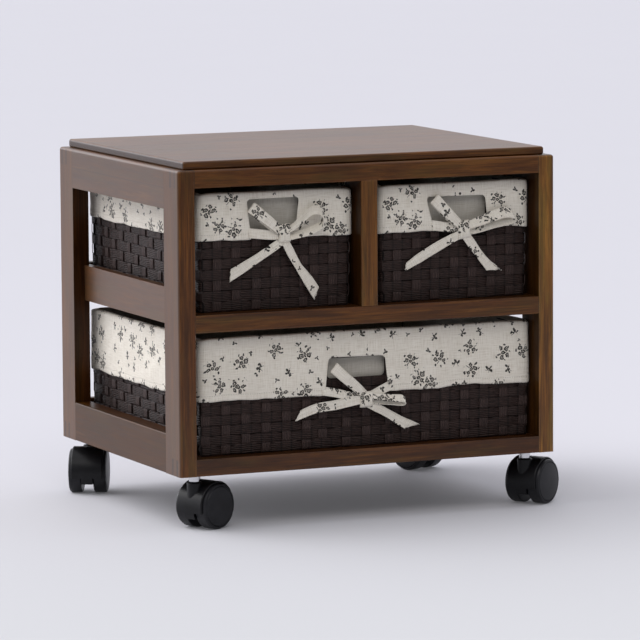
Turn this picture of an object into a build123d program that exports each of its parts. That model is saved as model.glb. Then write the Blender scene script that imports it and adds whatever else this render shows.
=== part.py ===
from build123d import *
import math
import os

os.makedirs("parts", exist_ok=True)

# Small three-basket chest on swivel casters. Millimetres, +Z up.
# Origin: on the floor, under the middle of the frame. The open basket
# fronts face -Y, +X is to the right as seen from the front.

# ---------------------------------------------------------------- frame
cab_w, cab_d = 450.0, 360.0     # over the posts, left-right and front-back
frame_h = 332.5                 # height of the wooden frame
lift = 61.0                     # underside of the frame above the floor
post_t, post_w = 19.0, 42.0     # post: seen from the front, seen from the side
rail_d = 42.0                   # front and back rails, front-back
top_rail_h = 19.5               # front and back top rail
low_rail_h = 18.5               # front and back bottom rail
side_top_z = 288.7              # underside of the side top rails
side_low_h = 43.7               # height of the side bottom rails
mid_z0, mid_z1 = 156.0, 175.5   # front middle rail
side_mid_z0, side_mid_z1 = 160.0, 200.0   # side and back middle rails
side_mid_out, side_mid_in = 211.5, 201.5  # faces of the side middle rails
divider_w = 20.0                # upright between the upper baskets
arris = 3.0                     # rounding of the outer edges
tenon_bands = ((7.0, 12.5), (19.5, 25.0))  # twin tenons, from the front face
dowel_r, dowel_hole_r = 4.0, 4.05
screw_r, head_r = 2.0, 4.0

# top board
board_w, board_d = 432.0, 346.2
board_proud = 9.0               # above the frame
board_plug = 6.0                # locating plug, down inside the frame

# runners
runner_w, runner_h = 20.0, 15.0

# ---------------------------------------------------------------- casters
wheel_r = 25.0
wheel_in, wheel_out = 6.85, 22.7     # from the middle of the caster
swivel_offset = 17.0                 # stem axis to wheel axle
hood_in_r, hood_out_r, hood_w = 26.0, 27.5, 36.0
web_t = 13.1
boss_r = 8.5
boss_top = 52.2
axle_r, axle_len = 2.5, 40.0
wheel_bore_r = 2.55
stem_x, stem_y = 199.5, 157.0
stem_pin_r, stem_bore_r = 3.5, 3.55

# ---------------------------------------------------------------- baskets
basket_front, basket_back = -162.0, 164.0   # woven body
wall_t = 3.0                                # woven wall
wire_r = 1.5                                # wire frame
cuff_gap, cuff_t = 1.0, 2.2                 # folded cloth cuff outside the wall
lining_t = 1.0
rim_gap = 0.3

hx, hy = cab_w / 2, cab_d / 2
inner_x, inner_y = hx - post_t, hy - post_w   # 206 and 138
z_top = lift + frame_h


def box_at(x0, x1, y0, y1, z0, z1, mode=Mode.ADD):
    """A block between two corners, the heights counted from the frame's underside."""
    with Locations(((x0 + x1) / 2, (y0 + y1) / 2, lift + (z0 + z1) / 2)):
        Box(abs(x1 - x0), abs(y1 - y0), abs(z1 - z0), mode=mode)


def rod_at(x, y, z, radius, length, axis, mode=Mode.ADD):
    """A round rod about its middle, lying along the named axis."""
    turn = {"x": (0, 90, 0), "y": (90, 0, 0), "z": (0, 0, 0)}[axis]
    with Locations((x, y, lift + z)):
        Cylinder(radius, length, rotation=turn, mode=mode)


# Where the loose fastenings sit: (x, y, z from the frame's underside, axis).
side_dowels = [
    (sx * (hx - post_t / 2), sy * inner_y, z, "y")
    for sx in (-1, 1) for sy in (-1, 1) for z in (11.0, 33.0, 298.0, 321.0)
]
front_mid_dowels = [
    (sx * inner_x, y, 165.75, "x") for sx in (-1, 1) for y in (-171.0, -157.0)
]
back_mid_dowels = [
    (sx * inner_x, 172.75, z, "x") for sx in (-1, 1) for z in (170.0, 190.0)
]
divider_dowels = [
    (0.0, y, z, "z") for y in (-168.0, -150.0) for z in (mid_z1, frame_h - top_rail_h)
]
centre_dowels = [
    (x, y, 168.0, "y") for x in (-17.0, 17.0) for y in (-inner_y, 165.5)
]
all_dowels = (side_dowels + front_mid_dowels + back_mid_dowels
              + divider_dowels + centre_dowels)
dowel_half = 10.0                  # length on each side of the joint

board_screws = [(sx * 110.0, sy * 158.0) for sx in (-1, 1) for sy in (-1, 1)]
runner_screw_y = (-100.0, 10.0, 120.0)
stop_screw_x = (-120.0, 0.0, 120.0)


def dowel_holes(wanted):
    for x, y, z, axis in wanted:
        rod_at(x, y, z, dowel_hole_r, 2 * dowel_half + 1, axis, Mode.SUBTRACT)


# ================================================================ posts
for name, sx, sy in (("front_left_post", -1, -1), ("front_right_post", 1, -1),
                     ("back_left_post", -1, 1), ("back_right_post", 1, 1)):
    with BuildPart() as post:
        box_at(sx * hx, sx * inner_x, sy * hy, sy * inner_y, 0, frame_h)
        corner = post.edges().filter_by(Axis.Z).sort_by(
            lambda e: -(sx * e.center().X + sy * e.center().Y))[0]
        fillet(corner, radius=arris + 0.5)
        rim = post.edges().group_by(Axis.Z)[-1].filter_by(
            lambda e: sx * e.center().X > hx - 2 or sy * e.center().Y > hy - 2)
        fillet(rim, radius=arris)
        # open mortises for the twin tenons of the front and back rails
        for t0, t1 in tenon_bands:
            ya, yb = sy * (hy - t0), sy * (hy - t1)
            box_at(sx * (hx + 1), sx * (inner_x - 1), ya, yb,
                   frame_h - top_rail_h, frame_h + 1, Mode.SUBTRACT)
            box_at(sx * (hx + 1), sx * (inner_x - 1), ya, yb,
                   -1, low_rail_h, Mode.SUBTRACT)
        # housing for the end of the side middle rail
        box_at(sx * side_mid_out, sx * (inner_x - 1), sy * (inner_y + 10),
               sy * (inner_y - 1), side_mid_z0, side_mid_z1, Mode.SUBTRACT)
        near = [d for d in side_dowels + front_mid_dowels + back_mid_dowels
                if d[0] * sx > 0 and d[1] * sy > 0]
        dowel_holes(near)
        for z in (183.0, 193.0):
            rod_at(sx * 211.5, sy * 143.0, z, screw_r, 20.0, "x", Mode.SUBTRACT)
    post.part.label = name
    export_step(post.part, f"parts/{name}.step")

# ================================================================ front and back rails
for name, sy, z0, z1 in (("front_top_rail", -1, frame_h - top_rail_h, frame_h),
                         ("back_top_rail", 1, frame_h - top_rail_h, frame_h),
                         ("front_bottom_rail", -1, 0.0, low_rail_h),
                         ("back_bottom_rail", 1, 0.0, low_rail_h)):
    with BuildPart() as rail:
        box_at(-inner_x, inner_x, sy * hy, sy * inner_y, z0, z1)
        face_edges = rail.edges().filter_by(Axis.X).filter_by(
            lambda e: sy * e.center().Y > hy - 1)
        if z1 == frame_h:
            fillet(face_edges.sort_by(Axis.Z)[-1], radius=arris)
        else:
            fillet(face_edges.sort_by(Axis.Z)[0], radius=1.2)
        for sx in (-1, 1):
            for t0, t1 in tenon_bands:
                box_at(sx * inner_x, sx * hx, sy * (hy - t0), sy * (hy - t1), z0, z1)
        if z1 == frame_h:
            tips = rail.edges().filter_by(Axis.Y).filter_by(
                lambda e: abs(e.center().X) > hx - 1 and e.center().Z > z_top - 1)
            fillet(tips, radius=arris)
            for x, y in board_screws:
                if y * sy > 0:
                    rod_at(x, y, frame_h - 12, screw_r, 26.0, "z", Mode.SUBTRACT)
                    with Locations((x, y, lift + frame_h - top_rail_h + 1.25)):
                        Cone(head_r, screw_r, 2.5, mode=Mode.SUBTRACT)
            if sy < 0:
                dowel_holes([d for d in divider_dowels if d[2] > 200])
        else:
            for sx in (-1, 1):
                rod_at(sx * stem_x, sy * stem_y, 8.0, 5.0, 16.0, "z", Mode.SUBTRACT)
            if sy > 0:
                for x in stop_screw_x:
                    rod_at(x, 172.0, 15.0, screw_r, 16.0, "z", Mode.SUBTRACT)
    rail.part.label = name
    export_step(rail.part, f"parts/{name}.step")

with BuildPart() as front_mid_rail:
    box_at(-inner_x, inner_x, -hy, -inner_y, mid_z0, mid_z1)
    fillet(front_mid_rail.edges().filter_by(Axis.X).filter_by(
        lambda e: e.center().Y < -hy + 1), radius=1.2)
    dowel_holes(front_mid_dowels + [d for d in divider_dowels if d[2] < 200]
                + [d for d in centre_dowels if d[1] < 0])
front_mid_rail.part.label = "front_mid_rail"
export_step(front_mid_rail.part, "parts/front_mid_rail.step")

with BuildPart() as front_divider:
    box_at(-divider_w / 2, divider_w / 2, -hy, -inner_y, mid_z1, frame_h - top_rail_h)
    fillet(front_divider.edges().filter_by(Axis.Z).filter_by(
        lambda e: e.center().Y < -hy + 1), radius=1.2)
    dowel_holes(divider_dowels)
front_divider.part.label = "front_divider"
export_step(front_divider.part, "parts/front_divider.step")

with BuildPart() as back_mid_rail:
    box_at(-inner_x, inner_x, 165.5, hy, side_mid_z0, side_mid_z1)
    fillet(back_mid_rail.edges().filter_by(Axis.X).filter_by(
        lambda e: e.center().Y > hy - 1), radius=1.2)
    dowel_holes(back_mid_dowels + [d for d in centre_dowels if d[1] > 0])
back_mid_rail.part.label = "back_mid_rail"
export_step(back_mid_rail.part, "parts/back_mid_rail.step")

# Strip that stops the lower basket at the back.
with BuildPart() as lower_back_stop:
    box_at(-inner_x, inner_x, 166.0, 178.0, low_rail_h, side_low_h)
    fillet(lower_back_stop.edges().filter_by(Axis.X).group_by(Axis.Z)[-1], radius=2.0)
    for x in stop_screw_x:
        rod_at(x, 172.0, (low_rail_h + side_low_h) / 2, screw_r, 40.0, "z", Mode.SUBTRACT)
        with Locations((x, 172.0, lift + side_low_h - 1.25)):
            Cone(screw_r, head_r, 2.5, mode=Mode.SUBTRACT)
lower_back_stop.part.label = "lower_back_stop"
export_step(lower_back_stop.part, "parts/lower_back_stop.step")

# ================================================================ side rails
for side, sx in (("left", -1), ("right", 1)):
    with BuildPart() as top_rail:
        box_at(sx * hx, sx * inner_x, -inner_y, inner_y, side_top_z, frame_h)
        outer = top_rail.edges().filter_by(Axis.Y).filter_by(
            lambda e: sx * e.center().X > hx - 1).sort_by(Axis.Z)
        fillet(outer[-1], radius=arris)
        dowel_holes([d for d in side_dowels if d[0] * sx > 0 and d[2] > 200])
    top_rail.part.label = f"{side}_top_rail"
    export_step(top_rail.part, f"parts/{side}_top_rail.step")

    with BuildPart() as mid_rail:
        box_at(sx * side_mid_out, sx * side_mid_in, -inner_y - 10, inner_y + 10,
               side_mid_z0, side_mid_z1)
        # the back end is let in beside the back rail, the front end beside the front rail
        box_at(sx * inner_x, sx * (side_mid_in - 1), -inner_y - 11, -inner_y,
               side_mid_z0 - 1, mid_z1, Mode.SUBTRACT)
        for y in (-143.0, 143.0):
            for z in (183.0, 193.0):
                rod_at(sx * 205.5, y, z, screw_r, 14.0, "x", Mode.SUBTRACT)
                with Locations(Location((sx * (side_mid_in + 1.25), y, lift + z),
                                        (0, sx * 90, 0))):
                    Cone(head_r, screw_r, 2.5, mode=Mode.SUBTRACT)
        for y in runner_screw_y:
            rod_at(sx * 205.0, y, 168.0, screw_r, 8.0, "x", Mode.SUBTRACT)
    mid_rail.part.label = f"{side}_mid_rail"
    export_step(mid_rail.part, f"parts/{side}_mid_rail.step")

    with BuildPart() as bottom_rail:
        box_at(sx * hx, sx * inner_x, -inner_y, inner_y, 0, side_low_h)
        outer = bottom_rail.edges().filter_by(Axis.Y).filter_by(
            lambda e: sx * e.center().X > hx - 1).sort_by(Axis.Z)
        fillet([outer[0], outer[-1]], radius=1.2)
        dowel_holes([d for d in side_dowels if d[0] * sx > 0 and d[2] < 200])
        for y in runner_screw_y:
            rod_at(sx * 211.5, y, 11.0, screw_r, 13.0, "x", Mode.SUBTRACT)
    bottom_rail.part.label = f"{side}_bottom_rail"
    export_step(bottom_rail.part, f"parts/{side}_bottom_rail.step")

    # wooden strips that the baskets slide on
    for level, x_out, z1, y1 in (("upper", side_mid_in, mid_z1, 165.5),
                                 ("lower", inner_x, low_rail_h, inner_y)):
        with BuildPart() as runner:
            box_at(sx * x_out, sx * (x_out - runner_w), -inner_y, y1, z1 - runner_h, z1)
            fillet(runner.edges().filter_by(Axis.Y).filter_by(
                lambda e: sx * e.center().X < x_out - runner_w + 1).sort_by(Axis.Z)[-1],
                radius=1.5)
            zs = 168.0 if level == "upper" else 11.0
            for y in runner_screw_y:
                rod_at(sx * (x_out - runner_w / 2), y, zs, screw_r, runner_w + 2, "x",
                       Mode.SUBTRACT)
                with Locations(Location((sx * (x_out - runner_w + 1.25), y, lift + zs),
                                        (0, sx * 90, 0))):
                    Cone(head_r, screw_r, 2.5, mode=Mode.SUBTRACT)
        runner.part.label = f"{level}_{side}_runner"
        export_step(runner.part, f"parts/{level}_{side}_runner.step")

# Runner under both upper baskets, with a fin that keeps them apart.
with BuildPart() as upper_centre_runner:
    box_at(-30, 30, -inner_y, 165.5, mid_z1 - runner_h, mid_z1)
    box_at(-9.8, 9.8, -inner_y, 165.5, mid_z1, 199.5)
    fillet(upper_centre_runner.edges().filter_by(Axis.Y).group_by(Axis.Z)[-1], radius=1.5)
    dowel_holes(centre_dowels)
upper_centre_runner.part.label = "upper_centre_runner"
export_step(upper_centre_runner.part, "parts/upper_centre_runner.step")

# ================================================================ top board
with BuildPart() as top_board:
    with BuildSketch(Plane.XY.offset(z_top)):
        RectangleRounded(board_w, board_d, 3.0)
    extrude(amount=board_proud)
    fillet(top_board.edges().group_by(Axis.Z)[-1], radius=2.6)
    chamfer(top_board.edges().group_by(Axis.Z)[0], length=1.5)
    with BuildSketch(Plane.XY.offset(z_top - board_plug)):
        Rectangle(2 * inner_x - 0.6, 2 * inner_y - 0.6)
    extrude(amount=board_plug)
    for x, y in board_screws:
        rod_at(x, y, frame_h + 2.75, screw_r, 5.5, "z", Mode.SUBTRACT)
top_board.part.label = "top_board"
export_step(top_board.part, "parts/top_board.step")

# ================================================================ fastenings
with BuildPart() as frame_dowels:
    for x, y, z, axis in all_dowels:
        rod_at(x, y, z, dowel_r, 2 * dowel_half, axis)
frame_dowels.part.label = "frame_dowels"
export_step(frame_dowels.part, "parts/frame_dowels.step")


def screw(x, y, z, way, length):
    """A countersunk screw whose head lies at a point; it runs along way."""
    with Locations(Plane(origin=(x, y, lift + z), z_dir=way).location):
        Cylinder(screw_r - 0.05, length, align=(Align.CENTER, Align.CENTER, Align.MIN))
        Cone(head_r - 0.3, screw_r - 0.1, 2.1,
             align=(Align.CENTER, Align.CENTER, Align.MIN))


with BuildPart() as board_screw_set:
    for x, y in board_screws:
        screw(x, y, frame_h - top_rail_h + 0.15, (0, 0, 1), 24.0)
board_screw_set.part.label = "top_board_screws"
export_step(board_screw_set.part, "parts/top_board_screws.step")

with BuildPart() as frame_screws:
    for sx in (-1, 1):
        for y in runner_screw_y:
            screw(sx * (side_mid_in - runner_w + 0.15), y, 168.0, (sx, 0, 0), 27.0)
            screw(sx * (inner_x - runner_w + 0.15), y, 11.0, (sx, 0, 0), 31.0)
        for y in (-143.0, 143.0):
            for z in (183.0, 193.0):
                screw(sx * (side_mid_in + 0.15), y, z, (sx, 0, 0), 19.0)
    for x in stop_screw_x:
        screw(x, 172.0, side_low_h - 0.15, (0, 0, -1), 36.0)
frame_screws.part.label = "frame_screws"
export_step(frame_screws.part, "parts/frame_screws.step")

with BuildPart() as caster_inserts:
    for sx in (-1, 1):
        for sy in (-1, 1):
            rod_at(sx * stem_x, sy * stem_y, 7.9, 4.95, 15.8, "z")
            rod_at(sx * stem_x, sy * stem_y, 7.9, 4.0, 16.0, "z", Mode.SUBTRACT)
caster_inserts.part.label = "caster_inserts"
export_step(caster_inserts.part, "parts/caster_inserts.step")

# ================================================================ casters
# name, stem position, direction in which the wheels trail behind the stem
casters = (
    ("front_left", -stem_x, -stem_y, (0.893, 0.451)),
    ("front_right", stem_x, -stem_y, (0.818, 0.575)),
    ("back_left", -stem_x, stem_y, (-0.465, -0.886)),
    ("back_right", stem_x, stem_y, (0.381, -0.925)),
)
for name, cx, cy, trail in casters:
    size = math.hypot(*trail)
    tx, ty = trail[0] / size, trail[1] / size
    base = Plane(origin=(cx, cy, 0), x_dir=(tx, ty, 0), z_dir=(0, 0, 1))
    axle_x, axle_y = cx + swivel_offset * tx, cy + swivel_offset * ty

    with BuildPart(base) as stem:
        with Locations((0, 0, lift + 7.0)):
            Cylinder(3.95, 14.0)
        with Locations((0, 0, (52.5 + lift) / 2)):
            Cylinder(6.2, lift - 52.5)
        chamfer(stem.edges().filter_by(GeomType.CIRCLE).filter_by(
            lambda e: e.radius > 6), length=0.6)
        with Locations((0, 0, 41.0)):
            Cylinder(stem_pin_r, 23.0)
    stem.part.label = f"{name}_caster_stem"
    export_step(stem.part, f"parts/{name}_caster_stem.step")

    with BuildPart(base) as hood:
        with Locations((swivel_offset, 0, wheel_r)):
            Cylinder(hood_out_r, hood_w, rotation=(90, 0, 0))
        fillet(hood.edges().filter_by(GeomType.CIRCLE), radius=1.3)
        with Locations((0, 0, (26.0 + boss_top) / 2)):
            Cylinder(boss_r, boss_top - 26.0)
        fillet(hood.edges().filter_by(GeomType.CIRCLE).sort_by(Axis.Z)[-1], radius=1.5)
        # wheel wells on both sides of the middle web
        for s in (-1, 1):
            with Locations((swivel_offset, s * (web_t / 2 + 15), wheel_r)):
                Cylinder(hood_in_r, 30.0, rotation=(90, 0, 0), mode=Mode.SUBTRACT)
        # the hood ends above the floor, the web a little lower
        with Locations((swivel_offset, 0, 0)):
            Box(80, 60, 24.0, mode=Mode.SUBTRACT)
        for s in (-1, 1):
            with Locations((swivel_offset, s * (web_t / 2 + 15), 0)):
                Box(80, 30, 38.0, mode=Mode.SUBTRACT)
        with Locations((swivel_offset, 0, wheel_r)):
            Cylinder(axle_r + 0.02, 40.0, rotation=(90, 0, 0), mode=Mode.SUBTRACT)
        with Locations((0, 0, 41.0)):
            Cylinder(stem_bore_r, 24.0, mode=Mode.SUBTRACT)
    hood.part.label = f"{name}_caster_hood"
    export_step(hood.part, f"parts/{name}_caster_hood.step")

    with BuildPart(base) as axle:
        with Locations((swivel_offset, 0, wheel_r)):
            Cylinder(axle_r, axle_len, rotation=(90, 0, 0))
        chamfer(axle.edges().filter_by(GeomType.CIRCLE), length=0.4)
    axle.part.label = f"{name}_caster_axle"
    export_step(axle.part, f"parts/{name}_caster_axle.step")

    for which, way in (("left", 1), ("right", -1)):
        nx, ny = -ty * way, tx * way
        wheel_plane = Plane(origin=(axle_x, axle_y, wheel_r), x_dir=(nx, ny, 0),
                            z_dir=(tx * way, ty * way, 0))
        with BuildPart() as wheel:
            with BuildSketch(wheel_plane):
                with BuildLine():
                    Polyline((20.3, 0), (20.3, wheel_bore_r), (wheel_in, wheel_bore_r),
                             (wheel_in, 24.2), (wheel_in + 0.8, wheel_r),
                             (19.2, wheel_r), (20.9, 24.2), (21.4, 23.0), (21.4, 22.4),
                             (20.7, 22.0), (21.6, 21.2))
                    ThreePointArc((21.6, 21.2), (22.43, 12.0), (wheel_out, 3.0))
                    Polyline((wheel_out, 3.0), (wheel_out, 0), (20.3, 0))
                make_face()
            revolve(axis=Axis((axle_x, axle_y, wheel_r), (nx, ny, 0)))
        wheel.part.label = f"{name}_caster_{which}_wheel"
        export_step(wheel.part, f"parts/{name}_caster_{which}_wheel.step")

# ================================================================ baskets
# name, middle in x, half width of the woven body, floor and rim height,
# cuff height, slot: left, right, low, high (x from the middle, z in the frame)
baskets = (
    ("upper_left_basket", -104.2, 89.8, mid_z1, 305.5, 52.0, (-34.2, 27.8, 255.0, 296.5)),
    ("upper_right_basket", 110.4, 89.6, mid_z1, 305.5, 54.0, (-34.0, 39.0, 252.0, 290.0)),
    ("lower_basket", 3.6, 197.6, low_rail_h, 148.0, 69.5, (-46.6, 22.4, 95.5, 118.5)),
)
# bows: outlines of the knot, the loops, the tails and the ties, x and z
bows = {
    "upper_left_basket": (
        ((-102, 266), (-89.5, 265.5), (-89.5, 247), (-102, 247)),
        ((-138.5, 284), (-129.5, 291.5), (-95, 262), (-103, 252)),
        ((-91, 264), (-62, 286), (-50, 280), (-47, 270), (-54, 259), (-91, 250)),
        ((-167.4, 215.6), (-160.4, 208), (-93, 247), (-100, 257)),
        ((-99, 249), (-88, 249), (-56, 190), (-61, 184)),
        ((-137, 265), (-137, 255.5), (-98, 251), (-98, 262)),
    ),
    "upper_right_basket": (
        ((112, 264), (126.5, 262), (127.5, 243), (111.5, 241)),
        ((79, 283), (88.3, 291.5), (116, 262), (106, 252)),
        ((124, 262), (170, 273), (183, 266), (181, 259), (124, 245)),
        ((45, 211.5), (51, 206), (114, 245), (112, 256)),
        ((116, 246), (129, 246), (165, 203), (150, 201)),
        ((84, 264), (84, 253.5), (114, 249), (114, 258)),
    ),
    "lower_basket": (
        ((-9, 80), (5, 79), (8.6, 64), (-5, 62)),
        ((-42, 104), (-34, 112), (-1, 79), (-10, 71)),
        ((4, 78), (46, 70), (47.5, 62), (4, 64)),
        ((-84, 57), (-76, 49), (-4, 66), (-6, 78)),
        ((0, 66), (9, 70), (65.4, 37), (46, 30)),
        ((-50, 88), (-50, 79), (-4, 68), (-4, 79)),
        ((27, 90), (30, 80), (2, 70), (2, 80)),
    ),
}
mid_y = (basket_front + basket_back) / 2
deep = basket_back - basket_front

for name, cx, half, z0, z1, cuff_h, slot in baskets:
    wall_top = z1 - 2.4
    cloth_top_in = z1 - 1.2

    with BuildPart() as body:
        with BuildSketch(Plane.XY.offset(lift + z0)):
            with Locations((cx, mid_y)):
                RectangleRounded(2 * half, deep, 5.0)
        extrude(amount=wall_top - z0)
        fillet(body.edges().group_by(Axis.Z)[0], radius=2.5)
        with BuildSketch(Plane.XY.offset(lift + z0 + wall_t)):
            with Locations((cx, mid_y)):
                RectangleRounded(2 * (half - wall_t), deep - 2 * wall_t, 4.0)
        extrude(amount=wall_top - z0, mode=Mode.SUBTRACT)
        # hand slot in the front wall
        with BuildSketch(Plane.XZ.offset(-basket_front + 1)):
            with Locations((cx + (slot[0] + slot[1]) / 2, lift + (slot[2] + slot[3]) / 2)):
                RectangleRounded(slot[1] - slot[0], slot[3] - slot[2], 6.0)
        extrude(amount=-(wall_t + 2), mode=Mode.SUBTRACT)
    body.part.label = f"{name}_woven_body"
    export_step(body.part, f"parts/{name}_woven_body.step")

    # wire frame just inside the woven walls: a hoop at the rim, one at the
    # bottom and an upright at each corner
    inset = wall_t + 0.3 + wire_r
    wx, wy = half - inset, deep / 2 - inset
    z_low, z_high = z0 + wall_t + 0.3 + wire_r, z1 - 5.5
    hoops = [(Pos(cx, mid_y, lift + z) * RectangleRounded(2 * wx, 2 * wy, 5.0))
             .face().outer_wire() for z in (z_low, z_high)]
    with BuildPart() as wire:
        for hoop in hoops:
            with BuildSketch(Plane(origin=hoop @ 0, z_dir=hoop % 0)):
                Circle(wire_r)
            sweep(path=hoop)
        c = 5.0 * (1 - math.sqrt(0.5))
        for sx in (-1, 1):
            for sy in (-1, 1):
                with Locations((cx + sx * (wx - c), mid_y + sy * (wy - c),
                                lift + (z_low + z_high) / 2)):
                    Cylinder(wire_r - 0.1, z_high - z_low)
    wire.part.label = f"{name}_wire_frame"
    export_step(wire.part, f"parts/{name}_wire_frame.step")

    # cloth liner: a bag inside the wires, folded over the rim into a cuff
    bag = wall_t + 0.3 + 2 * wire_r + 0.4
    with BuildPart() as liner:
        with BuildSketch(Plane.XY.offset(lift + z1 - cuff_h)):
            with Locations((cx, mid_y)):
                RectangleRounded(2 * (half + cuff_gap + cuff_t),
                                 deep + 2 * (cuff_gap + cuff_t), 7.0)
                RectangleRounded(2 * (half + cuff_gap), deep + 2 * cuff_gap, 5.5,
                                 mode=Mode.SUBTRACT)
        extrude(amount=cuff_h)
        with BuildSketch(Plane.XY.offset(lift + cloth_top_in)):
            with Locations((cx, mid_y)):
                RectangleRounded(2 * (half + cuff_gap + 0.5), deep + 2 * cuff_gap + 1, 6.0)
                RectangleRounded(2 * (half - bag - lining_t),
                                 deep - 2 * (bag + lining_t), 4.0, mode=Mode.SUBTRACT)
        extrude(amount=z1 - cloth_top_in)
        bag_z = z0 + wall_t + 0.3 + 2 * wire_r + 0.4
        with BuildSketch(Plane.XY.offset(lift + bag_z)):
            with Locations((cx, mid_y)):
                RectangleRounded(2 * (half - bag), deep - 2 * bag, 5.0)
        extrude(amount=z1 - bag_z - 0.5)
        with BuildSketch(Plane.XY.offset(lift + bag_z + lining_t)):
            with Locations((cx, mid_y)):
                RectangleRounded(2 * (half - bag - lining_t),
                                 deep - 2 * (bag + lining_t), 4.0)
        extrude(amount=z1 - bag_z, mode=Mode.SUBTRACT)
        fillet(liner.edges().group_by(Axis.Z)[-1].sort_by(SortBy.LENGTH)[-4:], radius=0.5)
        # opening in the front of the cuff, down to its hem
        with BuildSketch(Plane.XZ.offset(-basket_front + cuff_gap + cuff_t + 1)):
            top, low = slot[3], z1 - cuff_h - 8
            with Locations((cx + (slot[0] + slot[1]) / 2, lift + (top + low) / 2)):
                RectangleRounded(slot[1] - slot[0], top - low, 5.0)
        extrude(amount=-(cuff_t + cuff_gap * 0.9 + 1), mode=Mode.SUBTRACT)
    liner.part.label = f"{name}_liner"
    export_step(liner.part, f"parts/{name}_liner.step")

    with BuildPart() as bow:
        face_y = basket_front - cuff_gap - cuff_t - 0.3
        for outline in bows[name]:
            with BuildSketch(Plane.XZ.offset(-face_y)):
                with BuildLine():
                    Polyline(*[(x, lift + z) for x, z in outline], close=True)
                make_face()
            extrude(amount=2.2)
    bow.part.label = f"{name}_bow"
    export_step(bow.part, f"parts/{name}_bow.step")
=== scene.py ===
import math

import bpy
import numpy as np
from mathutils import Matrix, Vector


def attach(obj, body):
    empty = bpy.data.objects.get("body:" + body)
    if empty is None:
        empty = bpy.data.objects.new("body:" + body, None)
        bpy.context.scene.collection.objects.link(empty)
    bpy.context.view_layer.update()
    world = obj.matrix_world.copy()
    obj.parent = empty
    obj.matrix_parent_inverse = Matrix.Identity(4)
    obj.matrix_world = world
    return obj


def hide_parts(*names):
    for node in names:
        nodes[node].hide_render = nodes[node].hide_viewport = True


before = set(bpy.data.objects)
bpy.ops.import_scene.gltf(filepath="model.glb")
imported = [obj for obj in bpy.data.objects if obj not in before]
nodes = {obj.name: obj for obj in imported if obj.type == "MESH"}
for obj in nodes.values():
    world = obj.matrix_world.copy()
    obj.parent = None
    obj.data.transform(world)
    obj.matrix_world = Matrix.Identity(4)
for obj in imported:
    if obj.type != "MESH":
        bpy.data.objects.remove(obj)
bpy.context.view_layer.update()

scene = bpy.context.scene
MM = 0.001
LIFT = 61.0

# ------------------------------------------------------------------ camera
AZ, EL, ROLL = math.radians(-23.688), math.radians(6.816), math.radians(-0.359)
back = Vector((math.sin(AZ) * math.cos(EL), -math.cos(AZ) * math.cos(EL), math.sin(EL)))
right = Vector((math.cos(AZ), math.sin(AZ), 0.0))
up = back.cross(right)
cam_x = math.cos(ROLL) * right + math.sin(ROLL) * up
cam_y = -math.sin(ROLL) * right + math.cos(ROLL) * up
spot = right * 17.704 + Vector((0, 0, 140.586 + LIFT)) + back * 5450.963
cam_data = bpy.data.cameras.new("camera")
cam_data.sensor_width = 36.0
cam_data.lens = 4831.376 / 640.0 * 36.0
cam_data.clip_end = 60.0
cam = bpy.data.objects.new("camera", cam_data)
place = Matrix((cam_x, cam_y, back)).transposed().to_4x4()
place.translation = spot * MM
cam.matrix_world = place
scene.collection.objects.link(cam)
scene.camera = cam


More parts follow.
